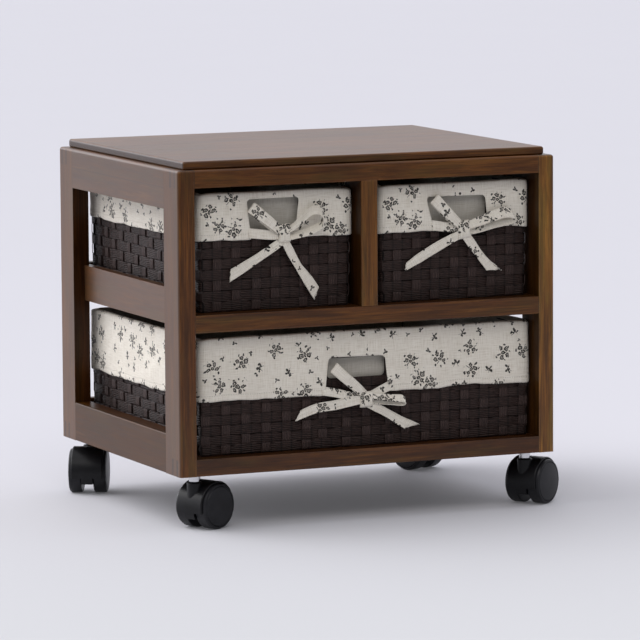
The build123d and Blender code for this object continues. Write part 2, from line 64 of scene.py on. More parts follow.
# ------------------------------------------------------------------ shader helpers
class Net:
    """A short way to write node trees."""

    def __init__(self, name):
        self.mat = bpy.data.materials.new(name)
        self.mat.use_nodes = True
        self.t = self.mat.node_tree
        self.t.nodes.clear()
        self.out = self.t.nodes.new("ShaderNodeOutputMaterial")
        self.bsdf = self.t.nodes.new("ShaderNodeBsdfPrincipled")
        self.t.links.new(self.bsdf.outputs[0], self.out.inputs[0])

    def node(self, kind, **props):
        n = self.t.nodes.new("ShaderNode" + kind)
        for k, v in props.items():
            setattr(n, k, v)
        return n

    def put(self, value, socket):
        if isinstance(value, bpy.types.NodeSocket):
            self.t.links.new(value, socket)
        elif value is not None:
            if socket.type == "RGBA" and len(value) == 3:
                value = (*value, 1.0)
            socket.default_value = value

    def math(self, op, a, b=None, c=None, clamp=False):
        n = self.node("Math", operation=op, use_clamp=clamp)
        for i, v in enumerate((a, b, c)):
            self.put(v, n.inputs[i])
        return n.outputs[0]

    def vmath(self, op, a, b=None, scale=None):
        n = self.node("VectorMath", operation=op)
        self.put(a, n.inputs[0])
        self.put(b, n.inputs[1])
        if scale is not None:
            self.put(scale, n.inputs["Scale"])
        return n.outputs["Value"] if op in ("LENGTH", "DISTANCE", "DOT_PRODUCT") else n.outputs[0]

    def split(self, v):
        n = self.node("SeparateXYZ")
        self.put(v, n.inputs[0])
        return n.outputs

    def join(self, x, y, z=0.0):
        n = self.node("CombineXYZ")
        for i, v in enumerate((x, y, z)):
            self.put(v, n.inputs[i])
        return n.outputs[0]

    def noise(self, vec, scale, detail=2.0, rough=0.5, dims="3D", distortion=0.0):
        n = self.node("TexNoise", noise_dimensions=dims)
        self.put(vec, n.inputs["Vector"])
        n.inputs["Scale"].default_value = scale
        n.inputs["Detail"].default_value = detail
        n.inputs["Roughness"].default_value = rough
        n.inputs["Distortion"].default_value = distortion
        return n.outputs[0]

    def ramp(self, fac, stops, interp="LINEAR"):
        n = self.node("ValToRGB")
        n.color_ramp.interpolation = interp
        e = n.color_ramp.elements
        while len(e) < len(stops):
            e.new(0.5)
        for el, (p, c) in zip(e, stops):
            el.position = p
            el.color = (*c, 1.0) if len(c) == 3 else c
        self.put(fac, n.inputs[0])
        return n.outputs[0]

    def smooth(self, x, lo, hi, to0=0.0, to1=1.0):
        n = self.node("MapRange", interpolation_type="SMOOTHSTEP")
        self.put(x, n.inputs[0])
        n.inputs[1].default_value, n.inputs[2].default_value = lo, hi
        n.inputs[3].default_value, n.inputs[4].default_value = to0, to1
        return n.outputs[0]

    def mix(self, fac, a, b, blend="MIX"):
        n = self.node("Mix", data_type="RGBA", blend_type=blend)
        self.put(fac, n.inputs[0])
        self.put(a, n.inputs[6])
        self.put(b, n.inputs[7])
        return n.outputs[2]

    def bump(self, height, strength=0.3, distance=0.0005, normal=None):
        n = self.node("Bump")
        n.inputs["Strength"].default_value = strength
        n.inputs["Distance"].default_value = distance
        self.put(height, n.inputs["Height"])
        if normal is not None:
            self.put(normal, n.inputs["Normal"])
        return n.outputs[0]

    def set(self, **values):
        for k, v in values.items():
            self.put(v, self.bsdf.inputs[k.replace("_", " ")])
        return self.mat


def wood(name, axis, seed, tone=1.0, seam_z=None, joint=None, tint=(1.0, 1.0, 1.0), gloss=0.36):
    """Dark stained wood under satin lacquer, its grain along one axis."""
    m = Net(name)
    obj = m.node("TexCoord").outputs["Object"]
    rot = {"x": (0, 0, 0), "y": (0, 0, math.pi / 2), "z": (0, math.pi / 2, 0)}[axis]
    mp = m.node("Mapping", vector_type="POINT")
    m.put(obj, mp.inputs["Vector"])
    mp.inputs["Rotation"].default_value = rot
    mp.inputs["Location"].default_value = (seed * 0.37, seed * 0.53, seed * 0.71)
    along = mp.outputs[0]

    def stretched(kx, ky, kz):
        s = m.node("Mapping", vector_type="POINT")
        m.put(along, s.inputs["Vector"])
        s.inputs["Scale"].default_value = (kx, ky, kz)
        return s.outputs[0]

    broad = m.noise(stretched(4.0, 34.0, 34.0), 1.0, 3.0, 0.55, distortion=0.7)
    cathedral = m.noise(stretched(9.0, 120.0, 120.0), 1.0, 4.0, 0.62, distortion=1.3)
    fine = m.noise(stretched(18.0, 640.0, 640.0), 1.0, 3.0, 0.65)
    pores = m.noise(stretched(60.0, 1500.0, 1500.0), 1.0, 2.0, 0.7)
    hue = m.noise(stretched(9.0, 60.0, 60.0), 1.0, 3.0, 0.55)
    bands = m.math("ADD", m.math("MULTIPLY", broad, 0.45), m.math("MULTIPLY", cathedral, 0.55))
    t = tone
    base = m.ramp(bands, [(0.34, (0.050 * t, 0.0160 * t, 0.0030 * t)),
                          (0.45, (0.092 * t, 0.0300 * t, 0.0052 * t)),
                          (0.54, (0.138 * t, 0.0480 * t, 0.0078 * t)),
                          (0.66, (0.205 * t, 0.0760 * t, 0.0130 * t))])
    olive = m.mix(m.smooth(hue, 0.50, 0.66, 0.0, 0.55), base,
                  (0.105 * t, 0.056 * t, 0.0100 * t))
    red = m.mix(m.smooth(hue, 0.32, 0.46, 0.42, 0.0), olive,
                (0.140 * t, 0.042 * t, 0.0080 * t))
    streak = m.mix(m.smooth(fine, 0.36, 0.60, 0.48, 0.0), red,
                   (0.026 * t, 0.0100 * t, 0.0042 * t))
    figure = m.noise(stretched(7.0, 150.0, 150.0), 1.0, 3.0, 0.6, distortion=0.8)
    streak = m.mix(m.smooth(figure, 0.60, 0.74, 0.0, 0.55), streak, (0.250 * t, 0.100 * t, 0.0180 * t))
    pore = m.smooth(pores, 0.60, 0.70, 0.0, 1.0)
    col = m.mix(m.math("MULTIPLY", pore, 0.50), streak, (0.012, 0.006, 0.004))
    # end grain takes more stain and shows its pores as dots
    way = {"x": (1, 0, 0), "y": (0, 1, 0), "z": (0, 0, 1)}[axis]
    geo = m.node("NewGeometry")
    end = m.smooth(m.math("ABSOLUTE", m.vmath("DOT_PRODUCT", geo.outputs["True Normal"], way)), 0.75, 0.9)
    dots = m.smooth(m.noise(obj, 1500.0, 2.0, 0.6), 0.45, 0.60)
    end_col = m.mix(dots, (0.030, 0.0190, 0.0135), (0.060, 0.038, 0.026))
    col = m.mix(m.math("MULTIPLY", end, 0.85), col, end_col)
    # worn, lighter arrises
    bev = m.node("Bevel", samples=3)
    bev.inputs["Radius"].default_value = 0.0024
    edge = m.math("SUBTRACT", 1.0, m.vmath("DOT_PRODUCT", bev.outputs[0], geo.outputs["Normal"]), clamp=True)
    rub = m.noise(obj, 90.0, 3.0, 0.6)
    wear = m.math("MULTIPLY", m.smooth(edge, 0.02, 0.20), m.smooth(rub, 0.34, 0.62), clamp=True)
    col = m.mix(m.math("MULTIPLY", wear, 0.40), col, (0.25 * t, 0.125 * t, 0.055 * t))
    xyz = m.split(obj)
    if seam_z is not None:
        gap = m.math("ABSOLUTE", m.math("SUBTRACT", xyz[2], seam_z))
        col = m.mix(m.smooth(gap, 0.00020, 0.0007, 0.85, 0.0), col, (0.012, 0.007, 0.005))
    if joint is not None:
        which, at = joint
        gap = m.math("ABSOLUTE", m.math("SUBTRACT", m.math("ABSOLUTE", xyz["xyz".index(which)]), at))
        col = m.mix(m.smooth(gap, 0.00025, 0.0008, 0.80, 0.0), col, (0.010, 0.006, 0.004))
    # painted shade: faces turned to the inside, and flat tops low in the frame, are darkened and reflect less,
    # standing in for the shade among the baskets
    nx, ny, nz = m.split(geo.outputs["True Normal"])
    inner_shade = 0.0
    for comp, place, far in ((nx, xyz[0], 0.205), (ny, xyz[1], 0.172)):
        for way in (1.0, -1.0):
            turned = m.math("GREATER_THAN", m.math("MULTIPLY", comp, way), 0.7)
            within = m.math("LESS_THAN", m.math("MULTIPLY", place, way), far)
            inner_shade = m.math("MAXIMUM", inner_shade, m.math("MULTIPLY", turned, within))
    shelf = m.math("MULTIPLY", m.math("GREATER_THAN", nz, 0.7), m.math("LESS_THAN", xyz[2], 0.385))
    inner_shade = m.math("MAXIMUM", inner_shade, m.math("MULTIPLY", shelf, 0.75))
    col = m.mix(inner_shade, col, m.mix(1.0, col, (0.30, 0.27, 0.28), "MULTIPLY"))
    if tint != (1.0, 1.0, 1.0):
        col = m.mix(1.0, col, tint, "MULTIPLY")
    # painted sheen: the outer side faces are mixed towards one even, greyer brown that stands in for the sheen the
    # light from the left lays on them
    side = m.math("MULTIPLY", m.math("GREATER_THAN", m.math("ABSOLUTE", nx), 0.7), m.math("SUBTRACT", 1.0, m.math("MAXIMUM", inner_shade, end)))
    col = m.mix(m.math("MULTIPLY", side, 0.55), col, (0.086 * t, 0.048 * t, 0.026 * t))
    rough = m.math("ADD", m.math("MULTIPLY", fine, 0.18), 0.25)
    rough = m.math("ADD", rough, m.math("MULTIPLY", wear, 0.10))
    height = m.math("SUBTRACT", m.math("MULTIPLY", fine, 0.35), m.math("MULTIPLY", pore, 0.6))
    # painted shade: the inner faces also get a weaker reflection
    return m.set(Base_Color=col, Roughness=rough, IOR=1.5, Specular_IOR_Level=m.math("MULTIPLY", gloss, m.math("SUBTRACT", 1.0, m.math("MULTIPLY", inner_shade, 0.6))),
                 Normal=m.bump(height, 0.22, 0.0003))


def motif_cells(m, uv, pitch, jitter, shift):
    """Scattered motif centres: offset from the nearest one (metres) and its random numbers."""
    v = m.node("TexVoronoi", voronoi_dimensions="2D", feature="F1")
    m.put(m.vmath("ADD", uv, shift), v.inputs["Vector"])
    v.inputs["Scale"].default_value = 1.0 / pitch
    v.inputs["Randomness"].default_value = jitter
    delta = m.vmath("SUBTRACT", m.vmath("ADD", uv, shift), v.outputs["Position"])
    return delta, m.split(v.outputs["Color"])


def polar(m, delta, turn):
    x, y, _ = m.split(delta)
    r = m.vmath("LENGTH", m.join(x, y))
    a = m.math("ADD", m.math("ARCTAN2", y, x), m.math("MULTIPLY", turn, 6.2832))
    return r, a


def round_centre(m, r, a, count, radius, offset=0.0):
    """Local coordinates about the nearest of several points that stand on a circle."""
    step = 2 * math.pi / count
    folded = m.math("SUBTRACT", m.math("FLOORED_MODULO", m.math("ADD", a, offset), step), step / 2)
    return (m.math("SUBTRACT", m.math("MULTIPLY", r, m.math("COSINE", folded)), radius),
            m.math("MULTIPLY", r, m.math("SINE", folded)))


def ring_flower(m, x, y, size, line, lobes=5.0):
    """A small outlined flower with a dot in it."""
    r = m.vmath("LENGTH", m.join(x, y))
    a = m.math("ARCTAN2", y, x)
    edge = m.math("SUBTRACT", r, m.math("MULTIPLY", m.math("COSINE", m.math("MULTIPLY", a, lobes)), size * 0.10))
    ring = m.math("MULTIPLY", m.smooth(edge, size - 0.00012, size + 0.00016, 1.0, 0.0),
                  m.smooth(edge, size - line - 0.00016, size - line + 0.00012))
    return m.math("MAXIMUM", ring, m.smooth(r, size * 0.20, size * 0.20 + 0.00022, 1.0, 0.0))


def leaf(m, x, y, long, wide):
    r = m.vmath("LENGTH", m.join(m.math("DIVIDE", x, long), m.math("DIVIDE", y, wide)))
    return m.smooth(r, 0.80, 1.15, 1.0, 0.0)


def cotton(name, hem=False, printed=True, shift=(0.0, 0.0), tint=1.0):
    """Cream cotton-linen with a small scattered flower print; UV is in metres."""
    m = Net(name)
    uv = m.node("TexCoord").outputs["UV"]
    u, v, _ = m.split(uv)
    sx, sy = shift
    # slubby threads both ways
    warp = m.noise(m.join(m.math("MULTIPLY", u, 1400.0), m.math("MULTIPLY", v, 60.0)), 1.0, 2.0, 0.6, "2D")
    weft = m.noise(m.join(m.math("MULTIPLY", u, 60.0), m.math("MULTIPLY", v, 1400.0)), 1.0, 2.0, 0.6, "2D")
    thread_u = m.math("SINE", m.math("MULTIPLY", u, 2 * math.pi / 0.00062))
    thread_v = m.math("SINE", m.math("MULTIPLY", v, 2 * math.pi / 0.00062))
    slub = m.math("ADD", warp, weft)
    cloud = m.noise(uv, 22.0, 3.0, 0.5, "2D")
    g = tint
    base = m.ramp(m.math("MULTIPLY", slub, 0.5), [(0.34, (0.690 * g, 0.628 * g, 0.525 * g)),
                                                 (0.50, (0.830 * g, 0.780 * g, 0.685 * g)),
                                                 (0.66, (0.895 * g, 0.850 * g, 0.760 * g))])
    base = m.mix(m.smooth(cloud, 0.35, 0.7, 0.0, 0.22), base, (0.66 * g, 0.61 * g, 0.525 * g))
    col = base
    if printed:
        wn = m.node("TexNoise", noise_dimensions="2D")
        m.put(uv, wn.inputs["Vector"])
        wn.inputs["Scale"].default_value = 480.0
        wn.inputs["Detail"].default_value = 1.0
        wob = m.vmath("SCALE", m.vmath("SUBTRACT", wn.outputs["Color"], (0.5, 0.5, 0.5)), scale=0.0009)
        p = m.vmath("ADD", uv, wob)
        wide = m.node("TexNoise", noise_dimensions="2D")
        m.put(uv, wide.inputs["Vector"])
        wide.inputs["Scale"].default_value = 150.0
        wide.inputs["Detail"].default_value = 0.0
        p = m.vmath("ADD", p, m.vmath("SCALE", m.vmath("SUBTRACT", wide.outputs["Color"], (0.5, 0.5, 0.5)), scale=0.0034))
        # bunches: one flower in the middle, five round it, leaves and buds outside
        d, rnd = motif_cells(m, p, 0.0365, 0.70, (sx, sy, 0))
        r, a = polar(m, d, rnd[0])
        dx, dy, _ = m.split(d)
        x5, y5 = round_centre(m, r, a, 5, 0.0051)
        x9, y9 = round_centre(m, r, a, 9, 0.0085, 0.31)
        outer = ring_flower(m, x5, y5, 0.00232, 0.00140)
        outer = m.math("MULTIPLY", outer, m.smooth(r, 0.0074, 0.0077, 1.0, 0.0))
        few = m.smooth(m.math("COSINE", m.math("ADD", a, m.math("MULTIPLY", rnd[1], 9.0))), -0.92, -0.86)
        outer = m.math("MULTIPLY", outer, few)
        bunch = m.math("MAXIMUM", outer, ring_flower(m, dx, dy, 0.00225, 0.00140))
        buds = m.math("MULTIPLY", leaf(m, x9, y9, 0.00140, 0.00125),
                      m.smooth(m.noise(p, 260.0, 0.0, 0.5, "2D"), 0.46, 0.50))
        ink = m.math("MAXIMUM", bunch, buds)
        # single sprigs: a little flower between leaves
        d3, rnd3 = motif_cells(m, p, 0.0365, 0.70, (sx + 0.0182, sy + 0.0182, 0))
        r3, a3 = polar(m, d3, rnd3[0])
        d3x, d3y, _ = m.split(d3)
        x4, y4 = round_centre(m, r3, a3, 5, 0.0035)
        sprig = m.math("MAXIMUM", leaf(m, x4, y4, 0.00165, 0.00130), ring_flower(m, d3x, d3y, 0.00200, 0.00125, 4.0))
        sprig = m.math("MULTIPLY", sprig, m.smooth(m.math("COSINE", m.math("ADD", a3, 0.6)), -0.72, -0.60))
        clear = m.smooth(r, 0.0120, 0.0130)
        ink = m.math("MAXIMUM", ink, m.math("MULTIPLY", sprig, clear))
        # tiny sprigs in what is left
        d4, rnd4 = motif_cells(m, p, 0.0225, 0.80, (sx + 0.0105, sy + 0.004, 0))
        r4, a4 = polar(m, d4, rnd4[0])
        x3, y3 = round_centre(m, r4, a4, 3, 0.0015)
        tiny = leaf(m, x3, y3, 0.00145, 0.00095)
        clear2 = m.math("MULTIPLY", m.smooth(r, 0.0122, 0.0132), m.smooth(r3, 0.0074, 0.0084))
        keep = m.smooth(rnd4[1], 0.24, 0.26)
        ink = m.math("MAXIMUM", ink, m.math("MULTIPLY", m.math("MULTIPLY", tiny, clear2), keep))
        # the ink sits unevenly on the threads
        rub = m.smooth(m.math("ADD", m.math("MULTIPLY", slub, 0.5), m.math("MULTIPLY", m.noise(uv, 700.0, 1.0, 0.5, "2D"), 0.4)), 0.50, 1.02, 1.0, 0.84)
        ink = m.math("MULTIPLY", ink, rub, clamp=True)
        col = m.mix(ink, base, (0.0045, 0.0035, 0.0032))
    height = m.math("ADD", m.math("MULTIPLY", m.math("ADD", thread_u, thread_v), 0.25), slub)
    if hem:
        line = m.smooth(m.math("ABSOLUTE", m.math("SUBTRACT", v, 0.0135)), 0.0002, 0.0007, 1.0, 0.0)
        dash = m.smooth(m.math("SINE", m.math("MULTIPLY", u, 2 * math.pi / 0.0028)), -0.4, 0.1)
        col = m.mix(m.math("MULTIPLY", m.math("MULTIPLY", line, dash), 0.35), col, (0.36, 0.33, 0.28))
        height = m.math("SUBTRACT", height, m.math("MULTIPLY", line, 2.0))
    rough = m.math("ADD", 0.80, m.math("MULTIPLY", slub, 0.08))
    return m.set(Base_Color=col, Roughness=rough, Sheen_Weight=0.12, Sheen_Roughness=0.5,
                 Specular_IOR_Level=0.22, Normal=m.bump(height, 0.40, 0.00025))


def paper_strap(name, tone=1.0, grey=0.0):
    """Flat strap of twisted dark paper: fine ribs along its length. UV is (along, across) in metres."""
    m = Net(name)
    uv = m.node("TexCoord").outputs["UV"]
    obj = m.node("TexCoord").outputs["Object"]
    u, v, _ = m.split(uv)
    wob = m.noise(m.join(m.math("MULTIPLY", u, 35.0), m.math("MULTIPLY", v, 90.0)), 1.0, 2.0, 0.5, "2D")
    vv = m.math("ADD", v, m.math("MULTIPLY", wob, 0.0030))
    ribs = m.math("SINE", m.math("MULTIPLY", vv, 2 * math.pi / 0.0019))
    fibre = m.noise(m.join(m.math("MULTIPLY", u, 120.0), m.math("MULTIPLY", v, 1150.0)), 1.0, 4.0, 0.62, "2D")
    crease = m.noise(m.join(m.math("MULTIPLY", u, 900.0), m.math("MULTIPLY", v, 240.0)), 1.0, 2.0, 0.6, "2D")
    patch = m.noise(obj, 34.0, 3.0, 0.6)
    t = tone
    col = m.ramp(fibre, [(0.32, (0.0125 * t, 0.0062 * t, 0.0054 * t)),
                         (0.52, (0.0350 * t, 0.0180 * t, 0.0150 * t)),
                         (0.72, (0.0720 * t, 0.0420 * t, 0.0350 * t))])
    col = m.mix(m.smooth(patch, 0.35, 0.70, 0.0, 0.45), col, (0.056 * t, 0.032 * t, 0.026 * t))
    col = m.mix(grey, col, (0.036 * t, 0.0275 * t, 0.0262 * t))
    col = m.mix(m.smooth(ribs, -1.0, 0.1, 0.62, 0.0), col, (0.006, 0.004, 0.0035))
    # painted shade: the attribute darkens the straps where they dip beside and under the crossing straps
    shade = m.node("Attribute", attribute_type="GEOMETRY", attribute_name="painted_weave_shade")
    col = m.mix(m.math("MULTIPLY", shade.outputs["Fac"], 0.88), col, (0.0022, 0.0016, 0.0014))
    height = m.math("ADD", m.math("MULTIPLY", ribs, 0.5), m.math("ADD", m.math("MULTIPLY", fibre, 0.5), m.math("MULTIPLY", crease, 0.4)))
    rough = m.math("ADD", 0.44, m.math("MULTIPLY", fibre, 0.26))
    return m.set(Base_Color=col, Roughness=rough, Specular_IOR_Level=0.24,
                 Normal=m.bump(height, 0.85, 0.00055))


def nylon(name, grain=0.25, rough=0.30, tone=1.0):
    """Black moulded nylon with a faint orange peel and rougher, scuffed patches."""
    m = Net(name)
    obj = m.node("TexCoord").outputs["Object"]
    peel = m.noise(obj, 900.0, 2.0, 0.5)
    soft = m.noise(obj, 60.0, 3.0, 0.5)
    col = m.ramp(soft, [(0.35, (0.0052 * tone, 0.0052 * tone, 0.0064 * tone)),
                        (0.70, (0.0092 * tone, 0.0092 * tone, 0.0110 * tone))])
    scuff = m.smooth(m.noise(obj, 240.0, 4.0, 0.7), 0.60, 0.75)
    r = m.math("ADD", rough, m.math("ADD", m.math("MULTIPLY", soft, 0.10), m.math("MULTIPLY", scuff, 0.12)))
    return m.set(Base_Color=col, Roughness=r, IOR=1.5, Specular_IOR_Level=0.24, Normal=m.bump(peel, grain, 0.00012))


def metal(name, color, rough, scratch=0.10):
    m = Net(name)
    obj = m.node("TexCoord").outputs["Object"]
    n = m.noise(obj, 700.0, 3.0, 0.6)
    tint = m.mix(m.smooth(m.noise(obj, 120.0, 2.0, 0.5), 0.4, 0.7, 0.0, 0.25), color,
                 tuple(c * 0.8 for c in color))
    return m.set(Base_Color=tint, Metallic=1.0, Roughness=m.math("ADD", rough, m.math("MULTIPLY", n, scratch)),
                 Normal=m.bump(n, 0.08, 0.0001))


def plain_stage(name, color):
    m = Net(name)
    obj = m.node("TexCoord").outputs["Object"]
    n = m.noise(obj, 3.0, 2.0, 0.5)
    col = m.mix(m.smooth(n, 0.3, 0.7, 0.0, 0.04), color, tuple(c * 0.9 for c in color))
    # painted shade: the sheet is darker and greyer where it lies flat on the camera's side
    lie = m.vmath("DOT_PRODUCT", obj, tuple(ahead))
    col = m.mix(m.smooth(lie, -1.1, 0.5, 1.0, 0.0), col, m.mix(1.0, col, (0.90, 0.915, 0.885), "MULTIPLY"))
    # painted light: the sheet glows faintly, lifting the shadows on it
    return m.set(Base_Color=col, Roughness=0.75, Specular_IOR_Level=0.2,
                 Emission_Color=(0.96, 0.96, 1.0), Emission_Strength=0.055)


ahead = Vector((math.sin(-AZ), math.cos(-AZ), 0.0))
aside = Vector((ahead.y, -ahead.x, 0.0))

# ------------------------------------------------------------------ materials on the CAD nodes
grain_of = {}
for n in nodes:
    if n.endswith("post") or n == "front_divider":
        grain_of[n] = "z"
    elif n.startswith(("front_", "back_")) and n.endswith("rail") or n in ("lower_back_stop", "top_board"):
        grain_of[n] = "x"
    elif n.endswith(("rail", "runner")):
        grain_of[n] = "y"
for i, (n, axis) in enumerate(sorted(grain_of.items())):
    seam = (LIFT + 311.5) * MM if n in ("left_top_rail", "right_top_rail") else None
    tone = {"top_board": 0.92, "left_bottom_rail": 0.72, "front_right_post": 1.80, "front_divider": 1.25, "front_left_post": 1.0,
            "front_bottom_rail": 0.85}.get(n, 1.0 + 0.10 * math.sin(i * 2.3))
    joint = None
    if n.startswith(("left_", "right_")) and n.endswith(("top_rail", "bottom_rail")):
        joint = ("y", 0.138)
    elif n in ("front_top_rail", "front_bottom_rail", "front_mid_rail", "back_top_rail", "back_bottom_rail"):
        joint = ("x", 0.206)
    tint = {"front_right_post": (0.94, 1.12, 1.15), "front_divider": (0.96, 1.05, 1.10), "top_board": (0.98, 1.03, 1.16),
            "front_bottom_rail": (0.92, 0.90, 0.85), "front_mid_rail": (0.94, 0.94, 0.92)}.get(n, (1.0, 1.0, 1.0))
    gloss = {"left_bottom_rail": 0.15, "left_top_rail": 0.44, "left_mid_rail": 0.44, "top_board": 0.33}.get(n, 0.36)
    mat = wood("walnut_" + n, axis, i + 1.0, tone, seam, joint, tint, gloss)
    nodes[n].data.materials.clear()
    nodes[n].data.materials.append(mat)

hood_mat = nylon("nylon_hood", 0.30, 0.30, 0.85)
wheel_mat = nylon("nylon_wheel", 0.22, 0.34, 1.7)
chrome_mat = metal("chrome", (0.62, 0.62, 0.64), 0.05, 0.05)
steel_mat = metal("zinc_steel", (0.56, 0.56, 0.58), 0.26)
brass_mat = metal("brass", (0.70, 0.50, 0.22), 0.22)
wire_mat = nylon("wire_coat", 0.2, 0.4, 1.2)
beech = wood("beech_dowel", "x", 60.0, 6.5)
for n, o in nodes.items():
    if n in grain_of:
        continue
    if n.endswith("_hood"):
        mat = hood_mat
    elif n.endswith("_wheel"):
        mat = wheel_mat
    elif n.endswith("_stem"):
        mat = chrome_mat
    elif n.endswith("_axle") or n.endswith("screws"):
        mat = steel_mat
    elif n == "caster_inserts":
        mat = brass_mat
    elif n.endswith("_wire_frame"):
        mat = wire_mat
    elif n == "frame_dowels":
        mat = beech
    else:
        continue
    o.data.materials.clear()
    o.data.materials.append(mat)
for o in nodes.values():
    o.data.polygons.foreach_set("use_smooth", [True] * len(o.data.polygons))
    o.data.set_sharp_from_angle(angle=math.radians(32))


# ------------------------------------------------------------------ mesh helpers
def make(name, verts, faces, uv=None, mats=(), face_mat=None, solid=None, painted_weave_shade=None, turn=None):
    """A mesh object from points in millimetres; uv is one pair in metres per point, turn the u of one full round."""
    me = bpy.data.meshes.new(name)
    me.from_pydata((np.asarray(verts, float) * MM).tolist(), [], [tuple(int(i) for i in f) for f in faces])
    for mt in mats:
        me.materials.append(mt)
    if uv is not None:
        layer = me.uv_layers.new(name="UVMap")
        idx = np.zeros(len(me.loops), np.int32)
        me.loops.foreach_get("vertex_index", idx)
        pairs = np.asarray(uv, np.float32)[idx]
        if turn:
            first = np.zeros(len(me.polygons), np.int32)
            count = np.zeros(len(me.polygons), np.int32)
            me.polygons.foreach_get("loop_start", first)
            me.polygons.foreach_get("loop_total", count)
            top = np.repeat(np.maximum.reduceat(pairs[:, 0], first), count)
            pairs[:, 0] += np.where(top - pairs[:, 0] > turn / 2, turn, 0.0)
        layer.data.foreach_set("uv", pairs.ravel())
    if face_mat is not None:
        me.polygons.foreach_set("material_index", np.asarray(face_mat, np.int32))
    if painted_weave_shade is not None:
        me.attributes.new("painted_weave_shade", "FLOAT", "POINT").data.foreach_set("value", np.asarray(painted_weave_shade, np.float32))
    me.polygons.foreach_set("use_smooth", [True] * len(me.polygons))
    me.update()
    o = bpy.data.objects.new(name, me)
    scene.collection.objects.link(o)
    if solid:
        s = o.modifiers.new("thickness", "SOLIDIFY")
        s.thickness = solid * MM
        s.offset = 0.0
    return o


def wave(u, v, seed, size, count=7):
    """Smooth uneven field of about unit height, from sines of many directions."""
    rng = np.random.default_rng(seed)
    out = 0.0
    for _ in range(count):
        a, ph, k = rng.uniform(0, 6.283), rng.uniform(0, 6.283), 2 * math.pi / (size * rng.uniform(0.7, 1.7))
        out = out + np.sin((u * math.cos(a) + v * math.sin(a)) * k + ph)
    return out / math.sqrt(count)


class Loop:
    """A rounded rectangle, walked from the middle of its back by the left, front and right sides."""

    def __init__(self, cx, cy, hx, hy, r):
        self.cx, self.cy, self.hx, self.hy, self.r = cx, cy, hx, hy, r
        q = math.pi * r / 2
        self.parts = [(hx - r, "line", (cx, cy + hy), (-1, 0)),
                      (q, "arc", (cx - hx + r, cy + hy - r), 90),
                      (2 * (hy - r), "line", (cx - hx, cy + hy - r), (0, -1)),
                      (q, "arc", (cx - hx + r, cy - hy + r), 180),
                      (2 * (hx - r), "line", (cx - hx + r, cy - hy), (1, 0)),
                      (q, "arc", (cx + hx - r, cy - hy + r), 270),
                      (2 * (hy - r), "line", (cx + hx, cy - hy + r), (0, 1)),
                      (q, "arc", (cx + hx - r, cy + hy - r), 0),
                      (hx - r, "line", (cx + hx - r, cy + hy), (-1, 0))]
        self.length = sum(p[0] for p in self.parts)

    def at(self, s):
        """x, y, normal x, normal y at arc lengths s."""
        s = np.mod(np.asarray(s, float), self.length)
        out = np.zeros((len(s), 4))
        start = 0.0
        for length, kind, p, d in self.parts:
            k = (s >= start - 1e-9) & (s < start + length)
            t = s[k] - start
            if kind == "line":
                out[k, 0], out[k, 1] = p[0] + d[0] * t, p[1] + d[1] * t
                out[k, 2], out[k, 3] = d[1], -d[0]
            else:
                a = np.radians(d + 90.0 * t / length)
                out[k, 0], out[k, 1] = p[0] + self.r * np.cos(a), p[1] + self.r * np.sin(a)
                out[k, 2], out[k, 3] = np.cos(a), np.sin(a)
            start += length
        return out

    def front_s(self, x):
        """Arc length at which the front side passes x."""
        return sum(p[0] for p in self.parts[:4]) + x - (self.cx - self.hx + self.r)


def round_box(x, z, x0, x1, z0, z1, r):
    """Signed distance to a rounded rectangle, negative inside."""
    qx = np.abs(x - (x0 + x1) / 2) - (x1 - x0) / 2 + r
    qz = np.abs(z - (z0 + z1) / 2) - (z1 - z0) / 2 + r
    return np.hypot(np.maximum(qx, 0), np.maximum(qz, 0)) + np.minimum(np.maximum(qx, qz), 0) - r


def grid_faces(rows, cols, wrap):
    i = np.arange(rows - 1)[:, None] * cols
    j = np.arange(cols if wrap else cols - 1)[None, :]
    k = (j + 1) % cols
    return np.stack([i + j, i + k, i + cols + k, i + cols + j], -1).reshape(-1, 4)


# ------------------------------------------------------------------ baskets
MIDY, HALFY, FRONT = 1.0, 163.0, -162.0
baskets = {
    # middle x, half width, floor, rim, cuff, row pitch, uprights, slot x0 x1 z0 z1
    "upper_left_basket": dict(cx=-104.2, half=89.8, z0=175.5, z1=305.5, cuff=52.0, pitch=11.6, ups=44,
                              slot=(-34.2, 27.8, 255.5, 298.4),
                              notch=((-138.5, 297.0), (-76.5, 297.5), (-83.0, 250.0), (-133.5, 250.0)), seed=3),
    "upper_right_basket": dict(cx=110.4, half=89.6, z0=175.5, z1=305.5, cuff=53.0, pitch=11.6, ups=44,
                               slot=(-34.0, 39.0, 252.0, 291.8),
                               notch=((76.0, 290.5), (147.5, 290.0), (151.5, 250.0), (85.5, 250.0)), seed=5),
    "lower_basket": dict(cx=3.6, half=197.6, z0=18.5, z1=148.0, cuff=69.5, pitch=11.0, ups=60,
                         slot=(-46.6, 22.4, 95.5, 119.8),
                         notch=((-42.5, 119.0), (25.0, 118.0), (29.0, 74.0), (-48.5, 74.0)), seed=8),
}
upright_mat = paper_strap("paper_upright", 1.45, 0.35)
strap_mat = paper_strap("paper_strap", 0.86)
# painted shade: the darker paper of the skin behind the weave
shade_skin_mat = paper_strap("paper_shade_skin", 0.55)
print_cuff = cotton("cotton_cuff", hem=True)
print_bow = cotton("cotton_bow", shift=(0.37, 0.21))
lining_mat = cotton("cotton_lining", printed=False, tint=0.62)


